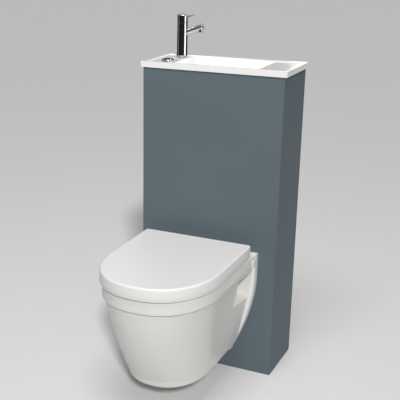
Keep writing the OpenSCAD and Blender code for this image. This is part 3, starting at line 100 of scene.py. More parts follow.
# A pale floor under everything, and the shader helpers that every surface below is made with.
# Number stands for a value that changes over a surface, Shading for a tree of shader nodes,
# and Finish for a whole material.
class Number:
    """A value that changes over a surface, ready to be used in sums."""

    def __init__(self, shading, socket):
        self.shading = shading
        self.socket = socket

    def worked(self, operation, first, second):
        return self.shading.node("Math", {0: first, 1: second}, operation=operation)

    def __add__(self, other):
        return self.worked("ADD", self, other)

    __radd__ = __add__

    def __rsub__(self, other):
        return self.worked("SUBTRACT", other, self)

    def __mul__(self, other):
        return self.worked("MULTIPLY", self, other)

    __rmul__ = __mul__


class Shading:
    """A tree of shader nodes, of a material or of the room."""

    def __init__(self, tree):
        self.tree = tree

    def node(self, kind, sockets, output=0, **settings):
        made = self.tree.nodes.new("ShaderNode" + kind)
        for name, value in settings.items():
            setattr(made, name, value)
        for name, value in sockets.items():
            if isinstance(value, Number):
                self.tree.links.new(value.socket, made.inputs[name])
            else:
                made.inputs[name].default_value = value
        return Number(self, made.outputs[output])

    def looked_at(self):
        """1 where the camera sees a place, in a reflection or through glass too, and else 0."""
        camera_ray, glossy_ray, clear_ray = (
            self.node("LightPath", {}, "Is %s Ray" % kind)
            for kind in ("Camera", "Glossy", "Transmission"))
        return camera_ray + glossy_ray + clear_ray


class Finish(Shading):
    """A material: one shader, and the nodes that make its colour, roughness and relief vary.

    slot is a material slot name that is kept on the finish; nothing in this script uses it.
    """

    def __init__(self, name, slot=None, **constants):
        self.slot = slot or name
        self.material = bpy.data.materials.new(name)
        self.material.use_nodes = True
        super().__init__(self.material.node_tree)
        self.shader = self.tree.nodes["Principled BSDF"]
        for socket, value in constants.items():
            self.shader.inputs[socket.replace("_", " ")].default_value = value

    def spot(self):
        return self.node("TexCoord", {}, "Object")

    def noise(self, size, detail=3, stretch=(1, 1, 1)):
        """Cloudy values round a half, with lumps about as large as size, in metres."""
        place = self.node("Mapping", {"Vector": self.spot(), "Scale": stretch})
        return self.node("TexNoise", {"Vector": place, "Scale": 0.7 / size, "Detail": detail})

    def spread(self, value, low, high):
        """A value stretched so that low becomes 0 and high becomes 1, and cut off there."""
        return self.node("MapRange", {"Value": value, "From Min": low, "From Max": high})

    def blend(self, share, low, high):
        """A colour that runs from low to high as share goes from 0 to 1."""
        ends = [colour if isinstance(colour, Number) else (*colour, 1) for colour in (low, high)]
        return self.node("Mix", {0: share, 6: ends[0], 7: ends[1]}, 2, data_type="RGBA")

    def inside(self, low, high, edge=0.8 * mm):
        """A share that is 1 inside a box and 0 outside it, given two corners of the box."""
        spot = self.spot()
        share = 1
        for axis in range(3):
            along = self.node("SeparateXYZ", {"Vector": spot}, axis)
            past_low = self.spread(along, low[axis] - edge, low[axis])
            past_high = self.spread(along, high[axis], high[axis] + edge)
            share = past_low * (1 - past_high) * share
        return share

    def set(self, socket, value):
        self.tree.links.new(value.socket, self.shader.inputs[socket])

    def colour(self, share, low, high):
        self.set("Base Color", self.blend(share, low, high))

    def relief(self, height, depth):
        """Makes the surface stand out by depth, in metres, where height is 1."""
        self.set("Normal", self.node("Bump", {"Height": height, "Distance": depth, "Strength": 1.0}))


def shade(colour, factor):
    """The same colour, lighter or darker."""
    return tuple(part * factor for part in colour)


def coat_nodes(finish, *names):
    """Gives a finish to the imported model's own solids."""
    for name in names:
        nodes[name].data.materials.clear()
        nodes[name].data.materials.append(finish.material)


def to_data(name, mesh):
    data = bpy.data.meshes.new(name)
    mesh.to_mesh(data)
    mesh.free()
    return data


def dressed(name, mesh, finish):
    """Turns a finished bmesh into an object with a finish."""
    made = put_in_scene(name, to_data(name, mesh))
    made.data.materials.append(finish.material)
    return made


def spin(mesh, parts, at, angle, steps, climb=0.0, merge=False):
    """Sweeps points and edges round an upright axis, and up by climb at each step."""
    bmesh.ops.spin(mesh, geom=parts, cent=(*at, 0), axis=(0, 0, 1), dvec=(0, 0, climb), angle=angle,
                   steps=steps, use_merge=merge, use_duplicate=False)


floor_size = 90.0
floor_colour = (0.74, 0.745, 0.75)
floor_bounce = (0.50, 0.50, 0.50)

floor_mesh = bmesh.new()
bmesh.ops.create_grid(floor_mesh, x_segments=1, y_segments=1, size=floor_size / 2)
floor_finish = Finish("floor_board", Roughness=0.7, Specular_IOR_Level=0.0)
floor_cloud = floor_finish.blend(floor_finish.noise(0.6), floor_colour, shade(floor_colour, 0.985))
floor_finish.colour(floor_finish.looked_at(), floor_bounce, floor_cloud)
dressed("floor", floor_mesh, floor_finish)


# A pale room with weak even light. A broad key lamp shines from high in front, at the right, and a
# weak one from low behind. One lamp hangs over the basin, and a tall one at the right is seen only
# in reflections, where it draws a bright streak down the chrome.
room_colour = (0.97, 0.985, 1.0)
room_level = 0.21
backdrop_level = 0.45
warm_white = (1.0, 0.985, 0.965)
key_strength = 2.3
key_height = radians(34)
key_side = radians(29)
key_spread = radians(5)
back_strength = 0.75
back_height = radians(14)
back_side = radians(200)
back_spread = radians(50)
top_place = (0.25, -1.3, 2.9)
top_target = (0, -0.2, 0.75)
top_power = 30
top_size = (1.1, 0.8)
streak_place = (3.0, -0.45, 1.1)
streak_target = (0, -0.2, 0.8)
streak_power = 20
streak_size = (1.3, 2.2)

world = bpy.data.worlds.new("room")
bpy.context.scene.world = world
world.use_nodes = True
room = Shading(world.node_tree)
room_shade = room.tree.nodes["Background"]
room_shade.inputs["Color"].default_value = (*room_colour, 1)
room_strength = room_level + (backdrop_level - room_level) * room.looked_at()
room.tree.links.new(room_strength.socket, room_shade.inputs["Strength"])


def hang_lamp(name, kind, place, target, power, size=None):
    """A lamp at a place, turned to face a target; a soft one has a width and a height."""
    lamp = put_in_scene(name, bpy.data.lights.new(name, kind))
    lamp.data.energy = power
    lamp.data.color = warm_white
    if size:
        lamp.data.shape = "RECTANGLE"
        lamp.data.size, lamp.data.size_y = size
    lamp.location = place
    lamp.rotation_euler = (Vector(target) - Vector(place)).to_track_quat("-Z", "Y").to_euler()
    lamp.visible_camera = False
    return lamp


def way_to(side, height):
    """The way to a far lamp, from its angle to the right of straight in front and its height."""
    return Vector((sin(side) * cos(height), -cos(side) * cos(height), sin(height)))


key_light = hang_lamp("key_light", "SUN", way_to(key_side, key_height), (0, 0, 0), key_strength)
key_light.data.angle = key_spread
back_light = hang_lamp("back_light", "SUN", way_to(back_side, back_height), (0, 0, 0), back_strength)
back_light.data.angle = back_spread
hang_lamp("top_lamp", "AREA", top_place, top_target, top_power, top_size)
streak_lamp = hang_lamp("streak_lamp", "AREA", streak_place, streak_target, streak_power, streak_size)
streak_lamp.visible_diffuse = False


# Three curved black flags stand round the room, outside every view, and give the chrome its
# dark bands. Only reflections show them, and they take no light from the object.
flag_colour = (0.05, 0.05, 0.055)
flag_reach = 5.0
flag_foot = 0.02
flag_top = 3.2
flag_steps = 48
flag_angles = {"left_flag": (-165, -74), "front_flag": (-64, 60), "side_flag": (103, 150)}

flag_finish = Finish("flag_cloth", Specular_IOR_Level=0.1)
weave = flag_finish.noise(0.02)
flag_finish.colour(weave, flag_colour, shade(flag_colour, 0.8))
flag_finish.set("Roughness", 0.8 + 0.1 * weave)
for name, (first, last) in flag_angles.items():
    start = flag_reach * way_to(radians(first), 0)
    flag_mesh = bmesh.new()
    ends = [flag_mesh.verts.new((start.x, start.y, z)) for z in (flag_foot, flag_top)]
    spin(flag_mesh, [*ends, flag_mesh.edges.new(ends)], (0, 0), radians(last - first), flag_steps)
    flag = dressed(name, flag_mesh, flag_finish)
    for seen_by in ("camera", "diffuse", "transmission", "volume_scatter", "shadow"):
        setattr(flag, "visible_" + seen_by, False)


# The casing: three painted boards on edge, mitred at the two front corners, in front of the frame.
# They are filled board under satin blue-grey paint laid on with a fine roller.
casing_colour = (0.100, 0.130, 0.151)
roller_grain = 1.6 * mm
board_edge = 0.9 * mm


def tidy_mesh(mesh, gap=0.02 * mm):
    bmesh.ops.remove_doubles(mesh, verts=mesh.verts, dist=gap)
    bmesh.ops.dissolve_degenerate(mesh, edges=mesh.edges, dist=gap / 2)
    bmesh.ops.recalc_face_normals(mesh, faces=mesh.faces)


def make_piece(name, mesh, finish, *replaced, beside=None, sharp=35):
    """Turns a finished bmesh into a piece with smooth faces and sharp edges past an angle.

    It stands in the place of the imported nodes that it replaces, or else beside one of them, and
    moves with it.
    """
    piece = dressed(name, mesh, finish)
    piece.data.polygons.foreach_set("use_smooth", [True] * len(piece.data.polygons))
    piece.data.set_sharp_from_angle(angle=radians(sharp))
    if replaced:
        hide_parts(*replaced)
    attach(piece, nodes[beside or replaced[0]]["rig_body"])
    return piece


def ease_edges(piece, width, past=35, steps=2):
    """Rounds a piece's sharp edges, so that they catch the light as a made edge does."""
    edge = piece.modifiers.new("eased_edges", "BEVEL")
    edge.width = width
    edge.segments = steps
    edge.limit_method = "ANGLE"
    edge.angle_limit = radians(past)


def ease_nodes(finish, width, *names):
    """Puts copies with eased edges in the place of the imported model's own solids."""
    for name in names:
        mesh = bmesh.new()
        mesh.from_mesh(nodes[name].data)
        bmesh.ops.remove_doubles(mesh, verts=mesh.verts, dist=0.002 * mm)
        bmesh.ops.dissolve_limit(mesh, angle_limit=radians(0.7), verts=mesh.verts, edges=mesh.edges)
        ease_edges(make_piece(name + "_eased", mesh, finish, name), width)


casing_paint = Finish("casing_paint", Specular_IOR_Level=0.2)
stipple = casing_paint.noise(roller_grain, 2)
casing_paint.colour(casing_paint.noise(0.22), shade(casing_colour, 0.95), shade(casing_colour, 1.05))
casing_paint.set("Roughness", 0.48 + 0.14 * stipple)
casing_paint.relief(stipple, 0.12 * mm)
ease_nodes(casing_paint, board_edge, "casing_front_panel", "casing_left_panel", "casing_right_panel")


# Two square rails on the wall close the casing's back edges, and four blocks pack out the frame.
# They are planed softwood, screwed through, with the grain along each piece.
timber_light = (0.62, 0.46, 0.27)
timber_dark = (0.42, 0.28, 0.14)
timber_edge = 1.5 * mm


def timber_finish(name, stretch):
    wood = Finish(name, "timber", Specular_IOR_Level=0.3)
    grain = wood.noise(2.5 * mm, 4, stretch)
    rings = wood.spread(wood.noise(9 * mm, 2, stretch), 0.42, 0.6)
    wood.colour(0.55 * rings + 0.45 * grain, timber_light, timber_dark)
    wood.set("Roughness", 0.55 + 0.2 * grain)
    wood.relief(grain, 0.15 * mm)
    return wood


ease_nodes(timber_finish("rail_timber", (0.03, 1, 1)), timber_edge, "rear_rails")
ease_nodes(timber_finish("block_timber", (1, 1, 0.05)), timber_edge, "panel_packers")


# The support frame: welded square tube, a folded bearing plate and a shelf for the cistern.
# It is powder coated in dark blue, with the slight orange peel of sprayed powder.
frame_colour = (0.035, 0.085, 0.19)
tube_edge = 3 * mm
plate_edge = 0.8 * mm

powder_coat = Finish("frame_powder_coat", "frame_steel", Coat_Weight=0.2, Coat_Roughness=0.25)
peel = powder_coat.noise(1.1 * mm, 2)
powder_coat.colour(powder_coat.noise(0.08), frame_colour, shade(frame_colour, 1.25))
powder_coat.set("Roughness", 0.3 + 0.2 * peel)
powder_coat.relief(peel, 0.1 * mm)
ease_nodes(powder_coat, tube_edge, "frame_left_upright", "frame_right_upright", "frame_top_rail",
           "frame_bottom_rail")
ease_nodes(powder_coat, plate_edge, "pan_bearing_plate", "cistern_shelf")


# Feet, wall plates with their threaded stays, the pan's threaded rods and nuts, and the waste strap.
# All are mild steel with bright zinc plating, which is faintly yellow and cloudy.
zinc_pale = (0.62, 0.64, 0.64)
zinc_warm = (0.52, 0.50, 0.42)
fitting_edge = 0.5 * mm
thread_pitch = 1.75 * mm

zinc_plate = Finish("zinc_plate", "zinc_steel", Metallic=1.0)
bloom = zinc_plate.noise(14 * mm, 4)
zinc_plate.colour(zinc_plate.spread(bloom, 0.4, 0.75), zinc_pale, zinc_warm)
zinc_plate.set("Roughness", 0.22 + 0.3 * bloom)
zinc_plate.relief(zinc_plate.noise(0.8 * mm, 2), 0.05 * mm)
ease_nodes(zinc_plate, fitting_edge, "frame_feet", "wall_brackets", "rod_nuts", "waste_clip")

rod_thread = Finish("rod_thread", Metallic=1.0)
thread_turns_and_shade = rod_thread.node("TexWave", {"Vector": rod_thread.spot(), "Scale": 0.314 / thread_pitch}, 1,
                        wave_type="BANDS", bands_direction="Y")
# The thread's grooves are painted darker than its crests, as painted shade; the same bands also give the
# thread its relief.
rod_thread.colour(thread_turns_and_shade, shade(zinc_warm, 0.45), zinc_pale)
rod_thread.set("Roughness", 0.25 + 0.2 * rod_thread.noise(3 * mm))
rod_thread.relief(thread_turns_and_shade, 0.5 * mm)
coat_nodes(rod_thread, "hanging_rods")


# The cistern, its cover and the parts in it that meet the water, with the basin's pipe and trap.
# They are moulded in white plastic, with a fine satin texture from the mould, and shallow ribs
# stiffen the cistern's back.
moulding_colour = (0.76, 0.76, 0.73)
tank_edge = 1.6 * mm
cover_edge = 1.2 * mm
rib_wide = 5 * mm
rib_proud = 1.6 * mm
rib_sunk = 0.6 * mm
rib_edge = 0.5 * mm
rib_shares = (0.1, 0.3, 0.5, 0.7, 0.9)
rib_margin_low = 24 * mm
rib_margin_high = 44 * mm
rib_margin_side = 22 * mm

white_moulding = Finish("white_moulding", "white_plastic", Subsurface_Weight=0.05, Subsurface_Scale=0.01)
texture = white_moulding.noise(0.7 * mm, 2)
white_moulding.colour(white_moulding.noise(0.06), moulding_colour, shade(moulding_colour, 0.96))
white_moulding.set("Roughness", 0.38 + 0.14 * texture)
white_moulding.relief(texture, 0.06 * mm)
coat_nodes(white_moulding, "flush_valve_seat", "flush_lift_tube", "half_flush_slide", "flush_valve_nut",
           "fill_valve", "float_arm", "rod_sleeves", "basin_pipe", "basin_trap")
ease_nodes(white_moulding, tank_edge, "cistern_tank")
ease_nodes(white_moulding, cover_edge, "cistern_cover")


def round_off(mesh, edges, radius, steps):
    bmesh.ops.bevel(mesh, geom=edges, offset=radius, segments=steps, profile=0.5, affect="EDGES",
                    material=-1)


def block(low, high, radius=0.0, steps=3):
    """A closed box between two corners, with rounded edges where a radius is given."""
    box = bmesh.new()
    low, high = Vector(low), Vector(high)
    size = Matrix.Diagonal(high - low).to_4x4()
    bmesh.ops.create_cube(box, size=1, matrix=Matrix.Translation((low + high) / 2) @ size)
    if radius:
        round_off(box, box.edges[:], radius, steps)
    return box


def add_on(mesh, part):
    """Adds a part to a mesh, without joining their surfaces."""
    mesh.from_mesh(to_data("part", part))


tank_low, tank_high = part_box("cistern_tank")
rib_low = tank_low.z + rib_margin_low
rib_high = tank_high.z - rib_margin_high
rib_ends = []
for share in rib_shares:
    rib_x = tank_low.x + (tank_high.x - tank_low.x) * share
    rib_ends.append((rib_x - rib_wide / 2, rib_low, rib_x + rib_wide / 2, rib_high))
for rib_z in (rib_low, rib_high):
    rib_ends.append((tank_low.x + rib_margin_side, rib_z - rib_wide / 2,
                     tank_high.x - rib_margin_side, rib_z + rib_wide / 2))
ribs_mesh = bmesh.new()
for x0, z0, x1, z1 in rib_ends:
    rib = block((x0, tank_high.y - rib_sunk, z0), (x1, tank_high.y + rib_proud, z1), rib_edge, 2)
    add_on(ribs_mesh, rib)
make_piece("cistern_ribs", ribs_mesh, white_moulding, beside="cistern_tank")


# The flush tower, both levers with their fork, the float, the stop valve's handle and the two
# drain pipes. They are moulded or extruded in dark grey plastic, slightly scuffed.
drain_colour = (0.055, 0.06, 0.065)

grey_moulding = Finish("grey_moulding")
scuff = grey_moulding.noise(2.5 * mm, 5)
grey_moulding.colour(grey_moulding.spread(scuff, 0.45, 0.8), drain_colour, shade(drain_colour, 1.25))
grey_moulding.set("Roughness", 0.32 + 0.3 * scuff)
grey_moulding.relief(grey_moulding.noise(0.9 * mm, 2), 0.07 * mm)
coat_nodes(grey_moulding, "flush_valve_tower", "lever_bracket", "full_flush_lever", "half_flush_lever",
           "float_cup", "stop_valve_handle", "flush_pipe", "waste_bend")


# Seals and washers in the pipes and under the tap, and the pads under the seat and the lid.
# They are moulded in black rubber, dull and dusty.
rubber_colour = (0.022, 0.022, 0.023)

seal_rubber = Finish("seal_rubber", Specular_IOR_Level=0.35)
dust = seal_rubber.noise(3 * mm, 4)
seal_rubber.colour(seal_rubber.spread(dust, 0.45, 0.85), rubber_colour, shade(rubber_colour, 2.4))
seal_rubber.set("Roughness", 0.55 + 0.25 * dust)
seal_rubber.relief(dust, 0.08 * mm)
coat_nodes(seal_rubber, "flush_valve_washer", "flush_seal", "flush_pipe_seal", "waste_seal",
           "tap_gasket", "seat_pads", "lid_pads")


# The supply pipe: drawn copper with soldered elbows, warm and unevenly tarnished,
# and the tap's brass back nut.
copper_bright = (0.80, 0.42, 0.26)
copper_dull = (0.36, 0.17, 0.10)
brass_bright = (0.76, 0.58, 0.26)
brass_dull = (0.48, 0.34, 0.14)


def tarnished(name, bright, dull):
    metal = Finish(name, Metallic=1.0)
    tarnish = metal.noise(22 * mm, 5)
    metal.colour(metal.spread(tarnish, 0.35, 0.75), bright, dull)
    metal.set("Roughness", 0.16 + 0.35 * tarnish)
    metal.relief(metal.noise(1.5 * mm, 2), 0.04 * mm)
    return metal


coat_nodes(tarnished("supply_copper", copper_bright, copper_dull), "supply_pipe")
coat_nodes(tarnished("nut_brass", brass_bright, brass_dull), "tap_nut")


# The stop valve, the hinge posts and the basin's waste, which share their chrome with the tap and
# the flush button. All are plated brass, mirror-like, with faint water marks and finger smears.
chrome_colour = (0.62, 0.63, 0.64)

chrome = Finish("chrome", Metallic=1.0)
smear = chrome.noise(9 * mm, 5)
chrome.colour(smear, chrome_colour, shade(chrome_colour, 0.92))
chrome.set("Roughness", 0.03 + 0.09 * smear)
coat_nodes(chrome, "stop_valve", "hinge_posts", "basin_waste", "basin_waste_nut")


# The pan: one hollow casting of vitreous china, glazed white all over and fired.
# A D-shaped body narrows to a small foot, under a rim band, in front of a flat flange. Each flank
# has a pocket for a hand, and the bowl opens through a trapway into the outlet at the back.
rim_z = 415 * mm
rim_half = 171 * mm
rim_front = 496 * mm
rim_radius = 5 * mm
lip_radius = 8 * mm
curve_start = 292 * mm
squareness = 2.2
band_drop = 41 * mm
band_step = 3 * mm
seam_z = rim_z - band_drop
groove_depth = 11 * mm
back_half = 180 * mm
pan_back = 12 * mm
body_play = 2 * mm
back_taper = 50 * mm
foot_z = 89 * mm
foot_half = 126 * mm
foot_front = 388 * mm
foot_shift = 62 * mm
foot_radius = 22 * mm
wall_z = foot_z + foot_radius
pocket_floor = 273 * mm
pocket_roof = 359 * mm
pocket_front = (128 * mm, 134 * mm)
pocket_ramp = 30 * mm
pocket_wall = (84 * mm, 132 * mm)
pocket_wall_away = (92 * mm, 200 * mm)
pocket_least = 120 * mm
mouth_half = 116 * mm
mouth_back = 122 * mm
mouth_front = rim_front - 35 * mm
mouth_middle = (mouth_back + mouth_front) / 2
mouth_reach = (mouth_front - mouth_back) / 2
mouth_power = 2.3
bowl_depth = 222 * mm
bowl_shift = 82 * mm
sump_half = 24 * mm
sump_reach = 30 * mm
flange_depth = 30 * mm
flange_foot = 81 * mm
flange_top = rim_z - 3 * mm
flange_round = 13 * mm
flange_corner = 14 * mm
flange_waist = 330 * mm
flange_taper = 75 * mm
flange_run = 260 * mm
deck_depth = 44 * mm
deck_sunk = 14 * mm
deck_radius = 3.5 * mm
outlet_z = 248 * mm
outlet_radius = 42 * mm
spigot_radius = 51 * mm
trapway_radius = 30 * mm
inlet_z = 383 * mm
inlet_radius = 27.5 * mm
jet_radius = 14 * mm
rod_z = 348 * mm
rod_apart = 90 * mm
rod_hole = 9 * mm
hinge_away = 72 * mm
hinge_apart = 77.5 * mm
hinge_hole = 6.4 * mm
front_steps = 60
side_steps = 12
back_steps = 12
turn_steps = front_steps + 2 * side_steps + back_steps


def centre(node):
    low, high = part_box(node)
    return (low + high) / 2


pan_x = centre("pan").x
deck_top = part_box("pan")[1].z
casing_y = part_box("casing_front_panel")[0].y


def at_pan(x, away, z):
    """A point beside the pan's middle plane, by its distance from the casing and its height."""
    return Vector((pan_x + x, casing_y - away, z))


def spaced(first, last, count):
    """Evenly spaced values from first to last, both of them included."""
    return [first + (last - first) * step / count for step in range(count + 1)]


quarter = spaced(0, pi / 2, 6)


def clamped(share):
    return min(1.0, max(0.0, share))


def squarish(angle, power):
    """A point of a circle of radius 1 that is pulled out toward a square."""
    return tuple(copysign(abs(part) ** (2 / power), part) for part in (cos(angle), sin(angle)))


def d_outline(step, half, start, front, side):
    """A point of a D seen from above, as x and distance from the casing.

    Steps run from the right end of the front curve round the front, up the left side, along the
    back and down the right side. side gives the points of the right side, from front to back.
    """
    if step <= front_steps:
        across, along = squarish(pi * step / front_steps, squareness)
        return half * across, start + (front - start) * along
    step -= front_steps
    if step <= side_steps:
        x, away = side(step)
        return -x, away
    if step <= side_steps + back_steps:
        x, away = side(side_steps)
        return x * (2 * (step - side_steps) / back_steps - 1), away
    return side(side_steps * 2 + back_steps - step)


def oval_outline(step, half, middle, reach, power):
    """A point of a squarish oval whose steps keep pace with those of d_outline."""
    if step <= front_steps:
        angle = pi * step / front_steps
    else:
        angle = pi + pi * (step - front_steps) / (turn_steps - front_steps)
    across, along = squarish(angle, power)
    return half * across, middle + reach * along


def bowed(half, back, start, away):
    """A point of a side that swells from half where the front curve starts to back at the casing."""
    return half + (back - half) * (1 - away / start) ** 2, away


def pocket_edge(z):
    """The pocket's slanted front edge, as a distance from the casing."""
    share = clamped((pocket_roof - z) / (pocket_roof - pocket_floor))
    return pocket_front[0] + (pocket_front[1] - pocket_front[0]) * share


def body_outline(z, inset=0.0):
    """The body's outline at a height, with columns of points along the pocket's edges."""
    down = clamped((seam_z - z) / (seam_z - wall_z))
    top_half = rim_half - band_step
    top_front = rim_front - 3 * band_step
    half = top_half + (foot_half - top_half) * down ** 0.76 - inset
    front = top_front + (foot_front - top_front) * down ** 1.68 - inset
    back = back_half - band_step - body_play - back_taper * down ** 1.9 - inset
    start = curve_start - foot_shift * down - inset / 2
    edge = pocket_edge(z)
    stations = spaced(start, edge, 4)[1:]
    stations += [edge + (flange_depth - edge) * share for share in (0.17, 0.33, 0.5, 0.67, 0.83, 1.0)]
    stations += [(flange_depth + pan_back) / 2, pan_back]
    return lambda step: d_outline(step, half, start, front, lambda number: bowed(
        half, back, start, stations[number - 1]))


def band_outline(inset):
    half = rim_half - inset
    back = back_half - inset
    stations = spaced(curve_start, pan_back, side_steps)
    return lambda step: d_outline(step, half, curve_start, rim_front - inset, lambda number: bowed(
        half, back, curve_start, stations[number]))


def bowl_outline(share, grow=0.0):
    """The bowl's outline at a share of its height, from 0 at the sump to 1 at the mouth."""
    sunk = 1 - share
    half = sump_half + (mouth_half - sump_half) * (1 - sunk ** 2.6) ** 0.62 + grow
    reach = sump_reach + (mouth_reach - sump_reach) * (1 - sunk ** 2.2) ** 0.72 + grow
    middle = mouth_middle - bowl_shift * sunk ** 1.5
    return lambda step: oval_outline(step, half, middle, reach, mouth_power - 0.3 * sunk)


def edge_in(outline, top, radius):
    """Outlines and heights that round an edge over, from an upright wall in to a level top."""
    return [(outline(radius * (1 - cos(a))), top - radius * (1 - sin(a))) for a in quarter]


def edge_down(outline, top, radius):
    """Outlines and heights that round an edge over, from a level top down into an upright wall."""
    return [(outline(radius * (1 - sin(a))), top - radius * (1 - cos(a))) for a in quarter]


def verts_in(parts):
    return [part for part in parts if isinstance(part, bmesh.types.BMVert)]


def edges_in(parts):
    return [part for part in parts if isinstance(part, bmesh.types.BMEdge)]


def draw_levels(count, levels):
    """A tube drawn up through levels, which each turn a step into a point, and the edges at each."""
    mesh = bmesh.new()
    number = mesh.verts.layers.float.new("number")
    verts = bmesh.ops.create_circle(mesh, cap_ends=False, segments=count, radius=1)["verts"]
    for step, vert in enumerate(verts):
        vert[number] = step
    rings = [mesh.edges[:]]
    for place, level in enumerate(levels):
        if place:
            drawn = bmesh.ops.extrude_edge_only(mesh, edges=rings[-1])["geom"]
            verts = verts_in(drawn)
            rings.append(edges_in(drawn))
        for vert in verts:
            vert.co = level(round(vert[number]))
    return mesh, rings


def draw_outlines(outlines):
    """A tube drawn up through outlines, each with a height, which may change along the outline."""
    def level(outline, height):
        def point(step):
            x, away = outline(step)
            return at_pan(x, away, height(x, away) if callable(height) else height)
        return point
    return draw_levels(turn_steps, [level(*pair) for pair in outlines])


def close_ends(mesh, rings):
    for ring in (rings[0], rings[-1]):
        bmesh.ops.edgeloop_fill(mesh, edges=ring)
    return mesh


def carve(mesh, tools, operation="DIFFERENCE"):
    """Cuts solids out of a closed mesh, or joins them on."""
    work = put_in_scene("work", bpy.data.meshes.new("work"))
    mesh.to_mesh(work.data)
    for tool in tools:
        bmesh.ops.recalc_face_normals(tool, faces=tool.faces)
        cutter = put_in_scene("cutter", to_data("cutter", tool))
        step = work.modifiers.new("cut", "BOOLEAN")
        step.operation = operation
        step.solver = "EXACT"
        step.object = cutter
        result = work.evaluated_get(bpy.context.evaluated_depsgraph_get())
        done = bpy.data.meshes.new_from_object(result)
        work.modifiers.remove(step)
        work.data = done
        bpy.data.objects.remove(cutter)
    mesh.clear()
    mesh.from_mesh(work.data)
    bpy.data.objects.remove(work)


def rod_between(start, end, radius, steps=48):
    """A closed cylinder between two points."""
    rod = bmesh.new()
    start, end = Vector(start), Vector(end)
    turn = (end - start).to_track_quat("Z", "Y").to_matrix().to_4x4()
    bmesh.ops.create_cone(rod, cap_ends=True, segments=steps, radius1=radius, radius2=radius,
                          depth=(end - start).length, matrix=Matrix.Translation((start + end) / 2) @ turn)
    return rod


def pan_rod(x, start, end, radius, steps=48):
    """A rod from front to back, between two distances from the casing, each with its height."""
    return rod_between(at_pan(x, *start), at_pan(x, *end), radius, steps)


def pulled(points, way):
    """The solid that a flat face with these corners sweeps through as it is pulled along a way."""
    mesh = bmesh.new()
    face = mesh.faces.new([mesh.verts.new(point) for point in points])
    moved = verts_in(bmesh.ops.extrude_face_region(mesh, geom=[face])["geom"])
    bmesh.ops.translate(mesh, verts=moved, vec=way)
    bmesh.ops.recalc_face_normals(mesh, faces=mesh.faces)
    return mesh


china_white = (0.775, 0.77, 0.75)

china = Finish("glazed_china", "glazed_ceramic", Specular_IOR_Level=0.0, Coat_Weight=0.8,
               Coat_Roughness=0.24, Coat_IOR=1.5)
run = china.noise(45 * mm, 3)
china.colour(run, china_white, shade(china_white, 0.975))
china.set("Roughness", 0.3 + 0.08 * run)
china.relief(0.8 * run + 0.03 * china.noise(1.3 * mm, 3), 0.35 * mm)

pan_outlines = [(body_outline(wall_z, foot_radius * (1 - sin(a))), wall_z - foot_radius * cos(a))
                for a in quarter]
wall_heights = spaced(wall_z, pocket_floor, 14)[1:-1] + spaced(pocket_floor, pocket_roof, 6)
wall_heights += [365 * mm, 368.5 * mm]
pan_outlines += [(body_outline(z), z) for z in wall_heights]
pan_outlines += [
    (body_outline(seam_z), seam_z - 4.2 * mm),
    (body_outline(seam_z, 0.3 * mm), seam_z - 3.5 * mm),
    (body_outline(seam_z, 1.0 * mm), seam_z - 3.1 * mm),
    (body_outline(seam_z, groove_depth), seam_z - groove_depth),
    (band_outline(band_step + groove_depth), seam_z + 0.6 * mm),
    (band_outline(0.8 * mm), seam_z + 0.7 * mm),
    (band_outline(0.2 * mm), seam_z + 1.0 * mm),
    (band_outline(0), seam_z + 1.6 * mm),
    (band_outline(0), seam_z + 12 * mm),
    (band_outline(0), rim_z - 14 * mm),
]
pan_outlines += edge_in(band_outline, rim_z, rim_radius)
pan_outlines += edge_down(lambda grow: bowl_outline(1, grow), rim_z, lip_radius)
for share in spaced(1, 0, 20)[1:]:
    pan_outlines.append((bowl_outline(share), rim_z - bowl_depth + (bowl_depth - lip_radius) * share))
pan_mesh = close_ends(*draw_outlines(pan_outlines))

for sign in (-1, 1):
    skin = []
    for face in pan_mesh.faces:
        middle = face.calc_center_median()
        beyond = sign * (middle.x - pan_x) > pocket_least
        behind = flange_depth < casing_y - middle.y < pocket_edge(middle.z)
        if beyond and behind and pocket_floor < middle.z < pocket_roof:
            skin.append(face)
    drawn = bmesh.ops.extrude_face_region(pan_mesh, geom=skin)["geom"]
    bmesh.ops.delete(pan_mesh, geom=skin, context="FACES")
    for vert in verts_in(drawn):
        share = clamped((casing_y - vert.co.y - pocket_wall_away[0])
                        / (pocket_wall_away[1] - pocket_wall_away[0]))
        vert.co.x = pan_x + sign * (pocket_wall[0] + (pocket_wall[1] - pocket_wall[0]) * share)
        vert.co.z += pocket_ramp * (pocket_roof - vert.co.z) / (pocket_roof - pocket_floor)
tidy_mesh(pan_mesh)

flange_edge = [(back_half - flange_taper * max(0.0, (flange_waist - z) / flange_run) ** 1.8, z)
               for z in spaced(flange_top, flange_foot, 24)]
corner_x = flange_edge[-1][0] - flange_corner
flange_edge += [(corner_x + flange_corner * cos(a), flange_foot - flange_corner * sin(a))
                for a in quarter[1:]]
flange_corners = [at_pan(x, 0, z) for x, z in flange_edge]
flange_corners += [at_pan(-x, 0, z) for x, z in reversed(flange_edge)]
flange_mesh = pulled(flange_corners, (0, -flange_depth, 0))
round_off(flange_mesh, [
    edge for edge in flange_mesh.edges
    if all(vert.co.y < casing_y - flange_depth / 2 for vert in edge.verts)
    and not all(vert.co.z > flange_top - 1 * mm for vert in edge.verts)
], flange_round, 8)

